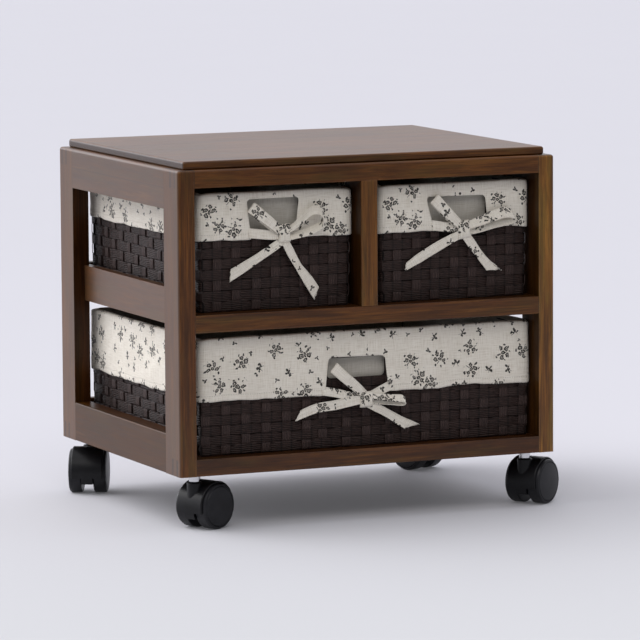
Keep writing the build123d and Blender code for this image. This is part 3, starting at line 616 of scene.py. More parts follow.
def woven(name, b):
    loop = Loop(b["cx"], MIDY, b["half"], HALFY, 5.0)
    top = b["z1"] - 2.4
    pitch, n = b["pitch"], b["ups"]
    step = loop.length / n
    amp, thick = 0.62, 0.42
    sx0, sx1 = b["cx"] + b["slot"][0], b["cx"] + b["slot"][1]
    sz0, sz1 = b["slot"][2], b["slot"][3]
    V, F, U, M, A = [], [], [], [], []
    count = 0

    def taper(z):
        return -1.6 * np.clip((b["z0"] + 60 - z) / 60.0, 0, 1) ** 1.5

    def strip(px, py, nx, ny, z, off, across, wide, closed, along, section_axis, dark):
        """Adds a closed strap: rings of seven points."""
        nonlocal count
        w = wide / 2
        drop = -0.14 if section_axis == "z" else -0.24
        prof = [(-w, drop), (-w + 0.8, 0.02), (0, 0.08), (w - 0.8, 0.02), (w, drop), (w, -2 * thick + 0.25), (-w, -2 * thick + 0.25)]
        rings = len(px)
        ring = np.zeros((rings, 7, 3))
        uvr = np.zeros((rings, 7, 2))
        for k, (a, h) in enumerate(prof):
            d = off + thick + h - 1.35
            if section_axis == "z":
                zz = z + a
                ring[:, k] = np.stack([px + nx * (d + taper(zz)), py + ny * (d + taper(zz)), zz], 1)
            else:
                ring[:, k] = np.stack([px[:] + across[0] * a + nx * (d + taper(z)),
                                       py[:] + across[1] * a + ny * (d + taper(z)), z], 1)
            uvr[:, k, 0] = along * MM
            uvr[:, k, 1] = (a + 0.37 * count % 7) * MM
        base = count
        idx = np.arange(rings * 7).reshape(rings, 7) + base
        r2 = np.roll(idx, -1, 0) if closed else idx[1:]
        r1 = idx if closed else idx[:-1]
        f = np.stack([r1, np.roll(r1, -1, 1), np.roll(r2, -1, 1), r2], -1).reshape(-1, 4)
        V.append(ring.reshape(-1, 3)); U.append(uvr.reshape(-1, 2)); A.append(np.repeat(dark, 7))
        kind = 0 if section_axis == "z" else 2
        F.append(f); M.append(np.full(len(f), kind))
        if not closed:
            caps = [idx[0][::-1], idx[-1]]
            for c in caps:
                F.append(np.array([[c[0], c[1], c[4], c[5]], [c[1], c[2], c[3], c[4]]]))
                M.append(np.full(2, kind))
        count += rings * 7

    rng = np.random.default_rng(b["seed"])
    # level straps, in front of every second upright
    rows = int(math.ceil((top - b["z0"]) / pitch - 0.2))
    s0, s1 = loop.front_s(sx0), loop.front_s(sx1)
    per = 16
    for i in range(rows):
        zc = b["z0"] + pitch * (i + 0.5) + (0.35 if i == 0 else 0.0)
        wide = min(pitch - 0.12, 2 * (top - zc))
        if wide < 4:
            continue
        cut = sz0 - 2 < zc < sz1
        if cut:
            s = np.concatenate([np.arange(s1 + 0.2, loop.length, step / per), np.arange(0, s0 - 0.2, step / per), [s0 - 0.2]])
        else:
            s = np.arange(0, loop.length - 0.5, step / per)
        q = loop.at(s)
        phase = np.cos(math.pi * (s / step + i))
        off = amp * np.clip(2.2 * phase + 0.5, -1, 1) + 0.08 * wave(s, s * 0, b["seed"] * 31 + i, 60.0)
        zz = np.full(len(s), zc) + 0.22 * wave(s, s * 0, b["seed"] * 57 + i, 85.0)
        # painted shade: each level strap darkens beside the uprights it covers
        away = np.abs((s / step + i + 1) % 2 - 1) * step
        dark = np.clip(1 - np.abs(away - 5.9) / 1.3, 0, 1)
        strip(q[:, 0], q[:, 1], q[:, 2], q[:, 3], zz, off, None, wide, not cut, s, "z", dark)
    # uprights
    for j in range(n):
        sc = j * step + rng.uniform(-0.5, 0.5)
        q = loop.at([sc])[0]
        t = np.array([-q[3], q[2]])
        spans = [(b["z0"] + 0.6, top)]
        beside = loop.at([(sc - 6.0) % loop.length, (sc + 6.0) % loop.length])
        if (beside[:, 2:4] @ q[2:4]).min() < 0.999:
            # bent round a corner: it stays low, where the cuff doesn't cover it
            spans = [(b["z0"] + 0.6, b["z1"] - b["cuff"] + 4.0)]
        elif q[3] < -0.99 and sx0 - 5 < q[0] < sx1 + 5:
            spans = [(b["z0"] + 0.6, sz0 - 0.2), (sz1 + 0.2, top)]
            if q[0] < sx0 + 5.5 or q[0] > sx1 - 5.5:
                q = q.copy()
                q[0] = sx0 - 5.8 if q[0] < sx0 + 5.5 else sx1 + 5.8
                spans = [(b["z0"] + 0.6, top)]
        for lo, hi in spans:
            if hi - lo < 2:
                continue
            z = np.linspace(lo, hi, max(4, int((hi - lo) / pitch * 7)))
            phase = np.cos(math.pi * ((z - b["z0"]) / pitch - 0.5 + j))
            off = -0.86 * np.clip(3.0 * phase - 0.2, -1, 1) + 0.04
            one = np.ones(len(z))
            # painted shade: each upright darkens where it dips under the level straps
            strip(q[0] * one, q[1] * one, q[2] * one, q[3] * one, z, off, t, 10.6, False, z, "s",
                  np.clip((0.25 - phase * -1.0) * 1.6, 0, 1) * 0.9)
    # painted shade: a dark skin with the floor, inside the straps, darker than the paper, stands in for the shade in
    # the gaps of the weave
    s = np.unique(np.concatenate([np.arange(0, loop.length, 6.0), np.linspace(s0 - 8, s1 + 8, 50)]))
    q = loop.at(s)
    zs = np.unique(np.concatenate([np.linspace(b["z0"] + 3, top - 0.2, 14), np.linspace(sz0 - 3, sz1 + 3, 22)]))
    levels = [(-14.0, b["z0"] + 1.2), (-5.0, b["z0"] + 1.2), (-2.9, b["z0"] + 2.2)] + [(-2.35, z) for z in zs]
    pts = np.array([np.stack([q[:, 0] + q[:, 2] * (d + taper(np.array(z))), q[:, 1] + q[:, 3] * (d + taper(np.array(z))),
                              np.full(len(s), z)], 1) for d, z in levels])
    front = (q[:, 3] < -0.99)
    dist = np.where(front[None, :] & (pts[..., 1] < MIDY), round_box(pts[..., 0], pts[..., 2], sx0, sx1, sz0, sz1, 5.0), 99.0)
    rws, cls = len(levels), len(s)
    f = grid_faces(rws, cls, True)
    keep = dist.reshape(-1)[f].mean(1) > 0
    flat = pts.reshape(-1, 3)
    dflat = dist.reshape(-1)
    near = np.abs(dflat) < 3.0
    used = np.zeros(len(flat), bool)
    used[f[keep].ravel()] = True
    gone = np.zeros(len(flat), bool)
    gone[f[~keep].ravel()] = True
    rim = used & gone & near
    e = 0.05
    gx = (round_box(flat[:, 0] + e, flat[:, 2], sx0, sx1, sz0, sz1, 5.0) - round_box(flat[:, 0] - e, flat[:, 2], sx0, sx1, sz0, sz1, 5.0)) / (2 * e)
    gz = (round_box(flat[:, 0], flat[:, 2] + e, sx0, sx1, sz0, sz1, 5.0) - round_box(flat[:, 0], flat[:, 2] - e, sx0, sx1, sz0, sz1, 5.0)) / (2 * e)
    flat[rim, 0] -= (dflat * gx)[rim]
    flat[rim, 2] -= (dflat * gz)[rim]
    V.append(flat); F.append(f[keep] + count); M.append(np.ones(int(keep.sum()), int))
    U.append(np.stack([np.tile(s, rws), flat[:, 2]], 1) * MM); A.append(np.full(len(flat), 0.5))
    first = count
    count += len(flat)
    # floor strips across, woven with strips along
    V.append(np.array([[b["cx"], MIDY, b["z0"] + 1.2]])); U.append(np.zeros((1, 2))); A.append(np.zeros(1))
    hub = count
    count += 1
    fan = np.array([[first + (i + 1) % cls, first + i, hub] for i in range(cls)])
    lx, ly = b["half"] - 10, HALFY - 10
    nx_, ny_ = int(2 * lx / 24), int(2 * ly / 12)
    for i in range(ny_):
        yc = MIDY - ly + (i + 0.5) * 2 * ly / ny_
        x = np.linspace(b["cx"] - lx - 4, b["cx"] + lx + 4, nx_ * 6)
        off = 0.35 * np.clip(1.7 * np.cos(math.pi * ((x - b["cx"] + lx) / (2 * lx) * nx_ + i)), -1, 1)
        add_floor(V, U, F, M, x, np.full(len(x), yc), b["z0"] + 0.75 - off, (0, 1), 2 * ly / ny_ * 0.95, count, x)
        count += len(x) * 4
        A.append(np.zeros(len(x) * 4))
    for j in range(nx_):
        xc = b["cx"] - lx + (j + 0.5) * 2 * lx / nx_
        y = np.linspace(MIDY - ly - 4, MIDY + ly + 4, ny_ * 5)
        off = -0.35 * np.clip(2.2 * np.cos(math.pi * ((y - MIDY + ly) / (2 * ly) * ny_ - 0.5 + j + 0.5)), -1, 1)
        add_floor(V, U, F, M, np.full(len(y), xc), y, b["z0"] + 0.75 - off, (1, 0), 10.5, count, y)
        count += len(y) * 4
        A.append(np.zeros(len(y) * 4))
    faces = [tuple(r) for a in F for r in a] + [tuple(r) for r in fan]
    fm = np.concatenate(M + [np.ones(len(fan), int)])
    o = make(name + "_weave", np.concatenate(V), faces, np.concatenate(U), (strap_mat, shade_skin_mat, upright_mat), fm,
             painted_weave_shade=np.concatenate(A))
    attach(o, name)
    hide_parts(name + "_woven_body")
    return o


def add_floor(V, U, F, M, x, y, z, way, wide, start, along):
    """A flat strap on the underside of the floor, four points to a ring."""
    w = wide / 2
    ring = np.zeros((len(x), 4, 3))
    uv = np.zeros((len(x), 4, 2))
    for k, (a, h) in enumerate(((-w, -0.22), (w, -0.22), (w, 0.22), (-w, 0.22))):
        ring[:, k] = np.stack([x + way[0] * a, y + way[1] * a, z + h], 1)
        uv[:, k] = np.stack([along * MM, np.full(len(x), a * MM)], 1)
    idx = np.arange(len(x) * 4).reshape(-1, 4) + start
    f = np.stack([idx[:-1], np.roll(idx[:-1], -1, 1), np.roll(idx[1:], -1, 1), idx[1:]], -1).reshape(-1, 4)
    V.append(ring.reshape(-1, 3)); U.append(uv.reshape(-1, 2)); F.append(f); M.append(np.zeros(len(f), int))
    F.append(np.array([idx[0][::-1], idx[-1]])); M.append(np.zeros(2, int))


def notch_dist(x, z, notch, r=4.5):
    """Signed distance to the opening of the cuff: straight sides, rounded upper corners, open below."""
    (ax, az), (bx, bz), (cx_, cz), (dx, dz) = notch
    t = (z - dz) / (az - dz)
    left = dx + (ax - dx) * t
    t2 = (z - cz) / (bz - cz)
    rightx = cx_ + (bx - cx_) * t2
    topz = az + (bz - az) * np.clip((x - ax) / (bx - ax), 0, 1)
    qx = np.maximum(left - x, x - rightx) + r
    qz = z - topz + r
    return np.hypot(np.maximum(qx, 0), np.maximum(qz, 0)) + np.minimum(np.maximum(qx, qz), 0) - r


def liner(name, b):
    """Bag, rim and folded-down cuff in one cloth."""
    loop = Loop(b["cx"], MIDY, b["half"], HALFY, 5.0)
    z0, z1, ch, seed = b["z0"], b["z1"], b["cuff"], b["seed"]
    zh = z1 - ch
    nx0 = min(p[0] for p in b["notch"]) - 14
    nx1 = max(p[0] for p in b["notch"]) + 14
    s = np.unique(np.round(np.concatenate([np.arange(0, loop.length, 4.2),
                                           np.arange(loop.front_s(nx0), loop.front_s(nx1), 1.1)]), 3))
    q = loop.at(s)
    path = [(1.0, zh + 7.0), (1.1, zh + 3.0), (1.35, zh + 0.9), (1.9, zh + 0.1), (2.45, zh + 0.8)]
    path += [(2.6 - 0.5 * (z - zh) / ch, z) for z in np.arange(zh + 2.2, z1 - 4.2, 1.9)]
    for a in np.radians(np.linspace(0, 180, 9)):
        path.append((-1.95 + 4.0 * math.cos(a), z1 - 2.4 + 2.1 * math.sin(a)))
    path += [(-6.3 - 0.9 * t, z1 - 4 - (z1 - 4 - z0 - 13) * t) for t in np.linspace(0.04, 1, 13)]
    path += [(-8.4, z0 + 10.8), (-11.0, z0 + 9.6), (-20.0, z0 + 8.9), (-48.0, z0 + 8.8), (-80.0, z0 + 8.8)]
    path = np.array(path)
    run = np.concatenate([[0], np.cumsum(np.hypot(np.diff(path[:, 0]), np.diff(path[:, 1])))])
    rws, cls = len(path), len(s)
    S = np.tile(s, (rws, 1))
    Z = np.tile(path[:, 1][:, None], (1, cls)).astype(float)
    D = np.tile(path[:, 0][:, None], (1, cls)).astype(float)
    outer = np.clip((run - 7) / 6, 0, 1) * np.clip((run[14 + int(ch / 1.9) - 4] - run) / 8, 0, 1)
    is_out = path[:, 0] > 0.9
    depth = np.clip((z1 - Z) / ch, 0, 1)
    # loose hang of the cuff: long soft waves that grow to the hem, fine crumples
    def round_wave(at, other, sd, size, k=1.0):
        """The wave blended over the last 40 mm into its own start."""
        t = np.clip((at - loop.length + 40) / 40, 0, 1)
        t = t * t * (3 - 2 * t)
        return wave(at * k, other, sd, size) * (1 - t) + wave((at - loop.length) * k, other, sd, size) * t

    soft = round_wave(S, Z * 1.4, seed, 62.0) * 0.42 + round_wave(S, Z, seed + 1, 24.0) * 0.22 + round_wave(S, Z * 0.8, seed + 2, 9.0, 1.2) * 0.10
    D += np.where(is_out[:, None], soft * (0.25 + 0.75 * depth), 0)
    D = np.where(is_out[:, None], np.clip(D - 0.4, 0.75, 3.6), D)
    inside = ~is_out & (path[:, 1] < z1 - 5)
    crumple = round_wave(S, Z, seed + 3, 48.0) * 0.55 + round_wave(S, Z, seed + 4, 15.0) * 0.25
    D += np.where(inside[:, None], np.clip(crumple, -1.2, 0.9), 0)
    # hem rises and falls; the rim sags a little and drops at the corners
    hem_move = (0.9 * round_wave(s, s * 0, seed + 5, 70.0) + 0.35 * round_wave(s, s * 0, seed + 6, 21.0))[None, :]
    Z += np.where(is_out[:, None], hem_move * depth ** 2, 0)
    corner = np.zeros(cls)
    st = 0.0
    for length, kind, p, d in loop.parts:
        if kind == "arc":
            mid = st + length / 2
            corner = np.maximum(corner, np.exp(-((s - mid) / 6.5) ** 2))
        st += length
    near_top = np.clip(1 - (z1 - Z) / 16.0, 0, 1)
    Z -= (1.3 * corner[None, :] + 0.28 * (1 + round_wave(s, s * 0, seed + 7, 75.0))[None, :]) * near_top
    # pulled forward where the ties are sewn
    x = q[:, 0]
    front = q[:, 3] < -0.99
    for cxn in (b["notch"][2][0], b["notch"][3][0]):
        pull = np.exp(-((x - cxn) / 9.0) ** 2) * front
        D += np.where(is_out[:, None], 0.9 * pull[None, :] * depth ** 2, 0)
    P = np.stack([q[None, :, 0] + q[None, :, 2] * D, q[None, :, 1] + q[None, :, 3] * D, Z], -1)
    # the floor of the bag closes towards its middle
    for k in range(rws - 5, rws):
        lim = -path[k, 0]
        ex, ey = max(b["half"] - lim, 1.0), max(HALFY - lim, 1.0)
        P[k, :, 0] = b["cx"] + np.clip(P[k, :, 0] - b["cx"], -ex, ex)
        P[k, :, 1] = MIDY + np.clip(P[k, :, 1] - MIDY, -ey, ey)
        P[k, :, 2] += 0.5 * wave(P[k, :, 0], P[k, :, 1], seed + 9, 60.0)
    flat = P.reshape(-1, 3)
    out_flat = np.repeat(is_out & (path[:, 1] < z1 - 4.0), cls)
    fr = np.tile(front, rws)
    dist = np.where(out_flat & fr, notch_dist(flat[:, 0], flat[:, 2], b["notch"]), 99.0)
    f = grid_faces(rws, cls, True)
    keep = dist[f].mean(1) > 0
    used = np.zeros(len(flat), bool)
    used[f[keep].ravel()] = True
    gone = np.zeros(len(flat), bool)
    gone[f[~keep].ravel()] = True
    rim = used & gone & (np.abs(dist) < 3.0)
    e = 0.05
    gx = (notch_dist(flat[:, 0] + e, flat[:, 2], b["notch"]) - notch_dist(flat[:, 0] - e, flat[:, 2], b["notch"])) / (2 * e)
    gz = (notch_dist(flat[:, 0], flat[:, 2] + e, b["notch"]) - notch_dist(flat[:, 0], flat[:, 2] - e, b["notch"])) / (2 * e)
    flat[rim, 0] -= (dist * gx)[rim]
    flat[rim, 2] -= (dist * gz)[rim]
    used_pts = np.unique(f[keep])
    remap = -np.ones(len(flat), int)
    remap[used_pts] = np.arange(len(used_pts))
    uv = np.stack([np.tile((s + loop.length / 2) % loop.length, rws), np.repeat(run, cls)], 1) * MM
    hub = len(used_pts)
    pts = np.concatenate([flat[used_pts], [[b["cx"], MIDY, z0 + 8.8]]])
    uv = np.concatenate([uv[used_pts], [[0.0, (run[-1] + 20) * MM]]])
    faces = [tuple(r) for r in remap[f[keep]]]
    rowof = (f[keep][:, 0] // cls)
    first_in = int(np.argmax(path[:, 0] < -3.0))
    fm = [1 if r >= first_in else 0 for r in rowof]
    last = remap[(rws - 1) * cls + np.arange(cls)]
    faces += [(last[i], last[(i + 1) % cls], hub) for i in range(cls)]
    fm += [1] * cls
    o = make(name + "_cloth", pts, faces, uv, (print_cuff, lining_mat), fm, solid=0.55, turn=loop.length * MM)
    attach(o, name)
    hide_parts(name + "_liner")
    return o, loop.length, run


def smooth_path(points, n):
    """Catmull-Rom through points of any width of columns, n samples."""
    p = np.asarray(points, float)
    p = np.vstack([2 * p[0] - p[1], p, 2 * p[-1] - p[-2]])
    seg = len(p) - 3
    t = np.linspace(0, seg - 1e-6, n)
    i = t.astype(int)
    t = (t - i)[:, None]
    a, b_, c, d = p[i], p[i + 1], p[i + 2], p[i + 3]
    return 0.5 * (2 * b_ + (c - a) * t + (2 * a - 5 * b_ + 4 * c - d) * t ** 2 + (3 * b_ - a - 3 * c + d) * t ** 3)


def ribbon(parts, points, width, side, seed, crown=0.5, tip=0.0, n=40):
    """A folded cloth tie: points are x, out, z (out is in front of the woven wall); side is the width's direction."""
    c = smooth_path(points, n)
    w = np.interp(np.linspace(0, 1, n), np.linspace(0, 1, len(width)), width) if hasattr(width, "__len__") else np.full(n, width)
    sd = np.asarray(side, float)
    sd = smooth_path(sd, n) if sd.ndim == 2 else np.tile(sd, (n, 1))
    sd /= np.linalg.norm(sd, axis=1)[:, None]
    tang = np.gradient(c, axis=0)
    tang /= np.linalg.norm(tang, axis=1)[:, None] + 1e-9
    nor = np.cross(tang, sd)
    nor /= np.linalg.norm(nor, axis=1)[:, None] + 1e-9
    flip = np.sign(nor[:, 1:2] + 1e-6)
    nor = nor * np.where(flip == 0, 1, flip)
    along = np.concatenate([[0], np.cumsum(np.linalg.norm(np.diff(c, axis=0), axis=1))])
    across = np.array([-1, -0.88, -0.55, -0.15, 0.15, 0.55, 0.88, 1.0]) / 2
    lift = np.array([-0.25, 0.30, 0.42, -0.12, 0.12, 0.50, 0.34, -0.25]) * crown
    rows = np.zeros((n, 8, 3))
    uv = np.zeros((n, 8, 2))
    for k in range(8):
        ripple = 0.22 * wave(along, np.full(n, across[k] * 14), seed, 13.0) + 0.10 * wave(along, np.full(n, across[k] * 14), seed + 1, 5.5)
        shift = (tip * across[k] * 1.7 + (0.5 * math.sin(seed * 3.1 + k * 2.4) if tip else 0.0)) * np.clip((along - along[-1] + 8) / 8, 0, 1) ** 1.5
        rows[:, k] = c + sd * (across[k] * w)[:, None] + nor * (lift[k] + ripple * (1 - 0.6 * abs(across[k]) * 2))[:, None] + tang * shift[:, None]
        uv[:, k] = np.stack([along, across[k] * w], 1) * MM + np.array([seed * 0.0137, seed * 0.0291])
    start = sum(len(v) for v, _, _ in parts)
    parts.append((rows.reshape(-1, 3), grid_faces(n, 8, False) + start, uv.reshape(-1, 2)))
    return along[-1] * w.mean()


def knot(parts, cx, cz, wide, tall, out, seed, turn=0.0):
    """The wrap over the crossing: a small cushion of folded cloth."""
    nu, nv = 17, 21
    u = np.linspace(-1, 1, nu)[None, :] * np.ones((nv, 1))
    v = np.linspace(-1, 1, nv)[:, None] * np.ones((1, nu))
    prof = np.clip(1 - np.abs(v) ** 3.2, 0, 1) ** 0.5
    side = np.clip(1 - np.abs(u) ** 4.0, 0, 1) ** 0.45
    bulge = 0.9 + 3.3 * prof * side
    pleat = 0.28 * np.sin(u * 7.5 + 0.8 * v + seed) * prof + 0.16 * wave(u * 6, v * 9, seed, 6.0)
    w = wide / 2 * (1 - 0.10 * v + 0.05 * np.sin(3 * v))
    x = u * w
    z = v * tall / 2 + 0.5 * u
    ca, sa = math.cos(turn), math.sin(turn)
    pts = np.stack([cx + x * ca - z * sa, -(out + bulge + pleat), cz + x * sa + z * ca], -1)
    uv = np.stack([x + 80 + seed, z + 40 + seed], -1) * MM
    start = sum(len(q) for q, _, _ in parts)
    parts.append((pts.reshape(-1, 3), grid_faces(nv, nu, False) + start, uv.reshape(-1, 2)))


def bow(name, spec, seed):
    parts = []
    area = 0.0
    for k, r in enumerate(spec["ties"]):
        pts = [(x, -out, z) for x, out, z in r["p"]]
        area += ribbon(parts, pts, r["w"], r["s"], seed * 20 + k, r.get("crown", 1.0), r.get("tip", 0.0), r.get("n", 36))
    kx, kz, kw, kt, ko, kturn = spec["knot"]
    knot(parts, kx, kz, kw, kt, ko, seed, kturn)
    area += kw * kt * 1.3
    pts = np.concatenate([p for p, _, _ in parts])
    pts[:, 1] += FRONT
    faces = [tuple(r) for _, f, _ in parts for r in f]
    o = make(name + "_tie", pts, faces, np.concatenate([u for _, _, u in parts]), (print_bow,), solid=0.9)
    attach(o, name)
    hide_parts(name + "_bow")
    return o, area


def perp(a, b_):
    """Direction square to a line in the front plane."""
    dx, dz = b_[0] - a[0], b_[1] - a[1]
    return (-dz, 0.0, dx)


# Every tie: points (x, distance in front of the woven wall, z above the frame's underside).
bow_specs = {
    "upper_left_basket": dict(
        knot=(-96.2, 259.0, 13.0, 19.5, 5.6, 0.03),
        ties=[
            dict(p=[(-137, 3.4, 260.5), (-122, 3.8, 258.5), (-108, 4.6, 257), (-97, 5.4, 257)], w=[10.5, 10.0, 8.5], s=(0, 0.15, 1)),
            dict(p=[(-78, 3.4, 263), (-84, 3.9, 261), (-90, 4.6, 259), (-95, 5.2, 258)], w=[10.0, 9.5, 8.5], s=(0, 0.1, 1)),
            dict(p=[(-97, 7.4, 258), (-112, 8.0, 270.5), (-126, 8.6, 281.5), (-133.2, 8.2, 287), (-135.2, 6.9, 288.4), (-132.6, 5.7, 286.4), (-118, 5.4, 274), (-97, 5.4, 256)],
                 w=[8.0, 11.5, 12.6, 12.8, 12.0, 8.0], s=perp((-97, 258), (-133, 287)), n=60),
            dict(p=[(-95, 7.6, 260), (-80, 9.5, 270.5), (-68, 11.0, 281), (-58, 11.5, 283), (-51.5, 11.2, 276.5), (-53.5, 10.6, 267.5), (-64, 9.6, 261.5), (-80, 8.0, 257), (-95, 7.0, 254)],
                 w=[7.5, 11.0, 12.0, 12.0, 12.0, 12.0, 11.5, 10.0, 8.0], s=(0.22, 0.62, 0.75), n=64, crown=0.6),
            dict(p=[(-96, 7.0, 252), (-108, 6.0, 244.5), (-126, 4.6, 233.5), (-143, 3.0, 223.5), (-158.5, 2.2, 215)], w=[7.5, 9.0, 9.0, 10.5, 11.6], s=perp((-96, 252), (-158, 214)), tip=5.0),
            dict(p=[(-95.5, 7.0, 250), (-89, 6.2, 238), (-79, 4.2, 222), (-67, 2.8, 206), (-56.5, 2.2, 190.5)], w=[8.5, 9.0, 7.6, 11.5, 12.0], s=perp((-95.5, 250), (-57, 190.5)), tip=-5.0),
        ]),
    "upper_right_basket": dict(
        knot=(119.4, 253.0, 14.0, 19.5, 5.6, 0.08),
        ties=[
            dict(p=[(82, 3.4, 259), (95, 3.8, 257), (108, 4.6, 255.5), (118, 5.4, 255)], w=[11.0, 10.0, 8.5], s=(0, 0.1, 1)),
            dict(p=[(152, 3.6, 262), (142, 4.0, 259.5), (130, 4.8, 256), (121, 5.2, 254.5)], w=[8.0, 8.5, 8.5], s=(0, 0.1, 1)),
            dict(p=[(118, 7.4, 255), (105, 8.2, 267), (93, 8.8, 278.5), (85.4, 8.2, 286.6), (83.8, 6.9, 288.4), (86.2, 5.7, 285.8), (101, 5.4, 270), (118, 5.4, 253)],
                 w=[8.0, 11.5, 12.8, 13.0, 12.2, 8.0], s=perp((118, 255), (85, 287)), n=60),
            dict(p=[(120, 7.4, 256), (136, 8.8, 261), (152, 10.2, 266.5), (167, 10.6, 270), (177, 10.0, 268.5), (180, 8.6, 264.5), (174, 6.9, 261.5), (156, 5.9, 258), (136, 5.4, 253), (120, 5.2, 250)],
                 w=[7.5, 10.5, 12.0, 12.5, 12.0, 11.5, 11.0, 10.0, 8.0], s=(-0.26, 0.42, 0.92), n=64, crown=0.8),
            dict(p=[(118, 7.0, 249), (104, 6.0, 243), (86, 4.4, 234), (67, 3.0, 223.5), (50.5, 2.2, 214)], w=[8.0, 9.5, 10.5, 10.0, 6.5], s=perp((118, 249), (50, 214)), tip=3.0),
            dict(p=[(121, 7.0, 247), (129, 6.0, 237), (138, 4.4, 226), (148, 3.0, 214.5), (158, 2.2, 205.5)], w=[9.5, 10.0, 8.5, 9.5, 12.5], s=perp((121, 247), (157, 203.5)), tip=8.0),
        ]),
    "lower_basket": dict(
        knot=(0.5, 71.0, 14.0, 17.0, 5.6, -0.05),
        ties=[
            dict(p=[(-51, 3.4, 83), (-36, 3.8, 80), (-18, 4.6, 75.5), (-2, 5.4, 73)], w=[9.5, 9.5, 8.5], s=(0, 0.15, 1)),
            dict(p=[(30, 3.6, 84), (22, 4.0, 81), (12, 4.8, 77), (3, 5.2, 74)], w=[10.0, 9.5, 8.0], s=(-0.2, 0.1, 1)),
            dict(p=[(-1, 7.4, 76), (-13, 8.2, 86.5), (-26, 8.8, 97), (-36.4, 8.2, 106.4), (-38.2, 6.9, 108.2), (-35.6, 5.7, 105.6), (-20, 5.4, 92), (-1, 5.4, 75)],
                 w=[8.0, 11.0, 11.8, 12.0, 11.4, 8.0], s=perp((-1, 76), (-37, 107)), n=60),
            dict(p=[(2, 7.6, 74), (16, 8.4, 73), (31, 9.2, 71), (42, 9.2, 70), (46.5, 8.2, 67.6), (43, 6.8, 65.5), (30, 5.9, 67), (14, 5.4, 68.5), (2, 5.2, 69)],
                 w=[6.5, 8.0, 8.5, 8.5, 8.5, 8.5, 8.0, 6.5], s=(0.05, 0.50, 0.86), n=60, crown=0.8),
            dict(p=[(-2, 7.0, 71), (-16, 6.2, 70), (-36, 4.6, 66.5), (-58, 3.0, 64), (-79.5, 2.2, 57)], w=[8.0, 10.5, 10.5, 10.0, 9.0], s=perp((-2, 71), (-80, 57)), tip=5.0),
            dict(p=[(2, 7.0, 66), (14, 6.0, 60.5), (28, 4.4, 53), (43, 3.0, 44), (57, 2.2, 37.0)], w=[7.5, 9.0, 8.5, 10.0, 11.5], s=perp((2, 66), (57, 36)), tip=9.0),
        ]),
}

pieces = {}
for bname, spec in baskets.items():
    b = dict(spec)
    for key in ("z0", "z1"):
        b[key] = spec[key] + LIFT
    b["slot"] = (spec["slot"][0], spec["slot"][1], spec["slot"][2] + LIFT, spec["slot"][3] + LIFT)
    b["notch"] = tuple((px, pz + LIFT) for px, pz in spec["notch"])
    woven(bname, b)
    cloth, around, run = liner(bname, b)
    bs = bow_specs[bname]
    ties = [dict(t, p=[(x, out, z + LIFT) for x, out, z in t["p"]]) for t in bs["ties"]]
    kx, kz, *rest = bs["knot"]
    tie, tie_area = bow(bname, dict(knot=(kx, kz + LIFT, *rest), ties=ties), spec["seed"])

# ------------------------------------------------------------------ floor and light
# a sweep of pale paper that ends a little before the camera's side of the studio
corners = [ahead * d + aside * w for d, w in ((-1.50, -9.0), (-1.50, 9.0), (14.0, 9.0), (14.0, -9.0))]
floor_mesh = bpy.data.meshes.new("floor")
floor_mesh.from_pydata([tuple(c) for c in corners], [], [(0, 1, 2, 3)])
floor = bpy.data.objects.new("floor", floor_mesh)
floor.data.materials.append(plain_stage("floor_paper", (0.565, 0.563, 0.605)))
scene.collection.objects.link(floor)

near_corners = [ahead * d + aside * w for d, w in ((-14.0, -9.0), (-14.0, 9.0), (-1.50, 9.0), (-1.50, -9.0))]
near_mesh = bpy.data.meshes.new("floor_near")
near_mesh.from_pydata([tuple(c) for c in near_corners], [], [(0, 1, 2, 3)])
near = bpy.data.objects.new("floor_near", near_mesh)
near.data.materials.append(floor.data.materials[0])
near.visible_glossy = False
near.visible_diffuse = False
scene.collection.objects.link(near)

world = bpy.data.worlds.new("studio")
world.use_nodes = True
wt = world.node_tree
wt.nodes.clear()
w_out = wt.nodes.new("ShaderNodeOutputWorld")
w_bg = wt.nodes.new("ShaderNodeBackground")
w_tc = wt.nodes.new("ShaderNodeTexCoord")
w_dot = wt.nodes.new("ShaderNodeVectorMath")
w_dot.operation = "DOT_PRODUCT"
w_dot.inputs[1].default_value = (ahead * 0.65 - aside * 0.30 + Vector((0, 0, 0.75))).normalized()
w_map = wt.nodes.new("ShaderNodeMapRange")
w_map.interpolation_type = "SMOOTHSTEP"
w_map.inputs[1].default_value, w_map.inputs[2].default_value = -0.35, 0.75
w_map.inputs[3].default_value, w_map.inputs[4].default_value = 0.34, 1.02
w_side = wt.nodes.new("ShaderNodeVectorMath")
w_side.operation = "DOT_PRODUCT"
w_side.inputs[1].default_value = (-0.60, 0.79, 0.10)
w_lobe = wt.nodes.new("ShaderNodeMapRange")
w_lobe.interpolation_type = "SMOOTHSTEP"
w_lobe.inputs[1].default_value, w_lobe.inputs[2].default_value = 0.62, 0.97
w_lobe.inputs[3].default_value, w_lobe.inputs[4].default_value = 0.0, 1.95
w_sum = wt.nodes.new("ShaderNodeMath")
w_sum.operation = "ADD"
wt.links.new(w_tc.outputs["Generated"], w_dot.inputs[0])
wt.links.new(w_dot.outputs["Value"], w_map.inputs[0])
wt.links.new(w_tc.outputs["Generated"], w_side.inputs[0])
wt.links.new(w_side.outputs["Value"], w_lobe.inputs[0])
wt.links.new(w_map.outputs[0], w_sum.inputs[0])
wt.links.new(w_lobe.outputs[0], w_sum.inputs[1])
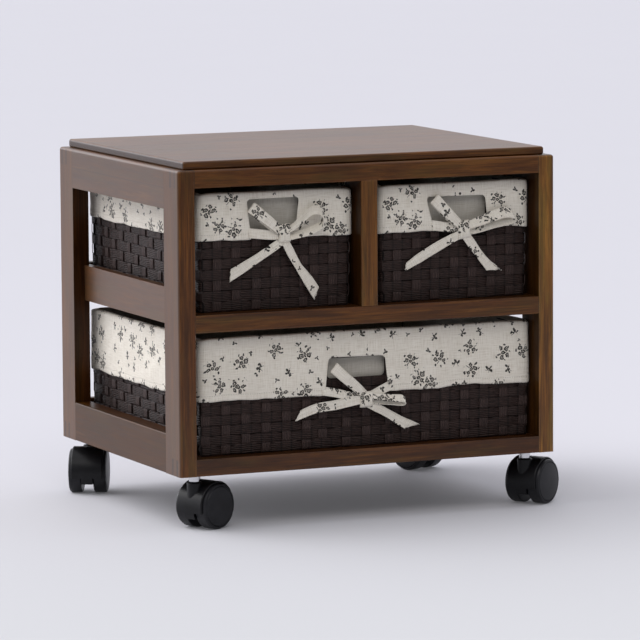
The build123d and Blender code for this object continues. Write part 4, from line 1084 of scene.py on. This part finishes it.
# dim under the horizon, where the studio's own dark side lies; plain to the camera
w_sep = wt.nodes.new("ShaderNodeSeparateXYZ")
w_low = wt.nodes.new("ShaderNodeMapRange")
w_low.inputs[1].default_value, w_low.inputs[2].default_value = -0.06, 0.10
w_low.inputs[3].default_value, w_low.inputs[4].default_value = 0.22, 1.0
w_mul = wt.nodes.new("ShaderNodeMath")
w_mul.operation = "MULTIPLY"
w_path = wt.nodes.new("ShaderNodeLightPath")
w_pick = wt.nodes.new("ShaderNodeMix")
wt.links.new(w_tc.outputs["Generated"], w_sep.inputs[0])
wt.links.new(w_sep.outputs[2], w_low.inputs[0])
wt.links.new(w_sum.outputs[0], w_mul.inputs[0])
wt.links.new(w_low.outputs[0], w_mul.inputs[1])
wt.links.new(w_path.outputs["Is Camera Ray"], w_pick.inputs[0])
wt.links.new(w_mul.outputs[0], w_pick.inputs[2])
w_pick.inputs[3].default_value = 0.88
wt.links.new(w_pick.outputs[0], w_bg.inputs[1])
w_bg.inputs[0].default_value = (0.90, 0.90, 0.95, 1.0)
wt.links.new(w_bg.outputs[0], w_out.inputs[0])
scene.world = world

sun = bpy.data.lights.new("key", "SUN")
sun.energy = 1.20
sun.angle = math.radians(50)
sun.color = (1.0, 0.985, 0.965)
sun_o = bpy.data.objects.new("key", sun)
sun_o.rotation_euler = (Vector((0, 0, 0)) - Vector((-0.75, 0.35, 1.0))).to_track_quat("-Z", "Y").to_euler()
scene.collection.objects.link(sun_o)


def area(name, where, target, size, power, color=(1, 1, 1)):
    l = bpy.data.lights.new(name, "AREA")
    l.shape = "RECTANGLE"
    l.size, l.size_y = size
    l.energy = power
    l.color = color
    o = bpy.data.objects.new(name, l)
    o.location = where
    o.rotation_euler = (Vector(target) - Vector(where)).to_track_quat("-Z", "Y").to_euler()
    scene.collection.objects.link(o)


area("fill", (-0.9, -2.6, 3.0), (0, 0, 0.15), (2.0, 1.6), 29.0, (1.0, 0.975, 0.94))
scene.view_settings.view_transform = "Standard"
scene.view_settings.look = "None"
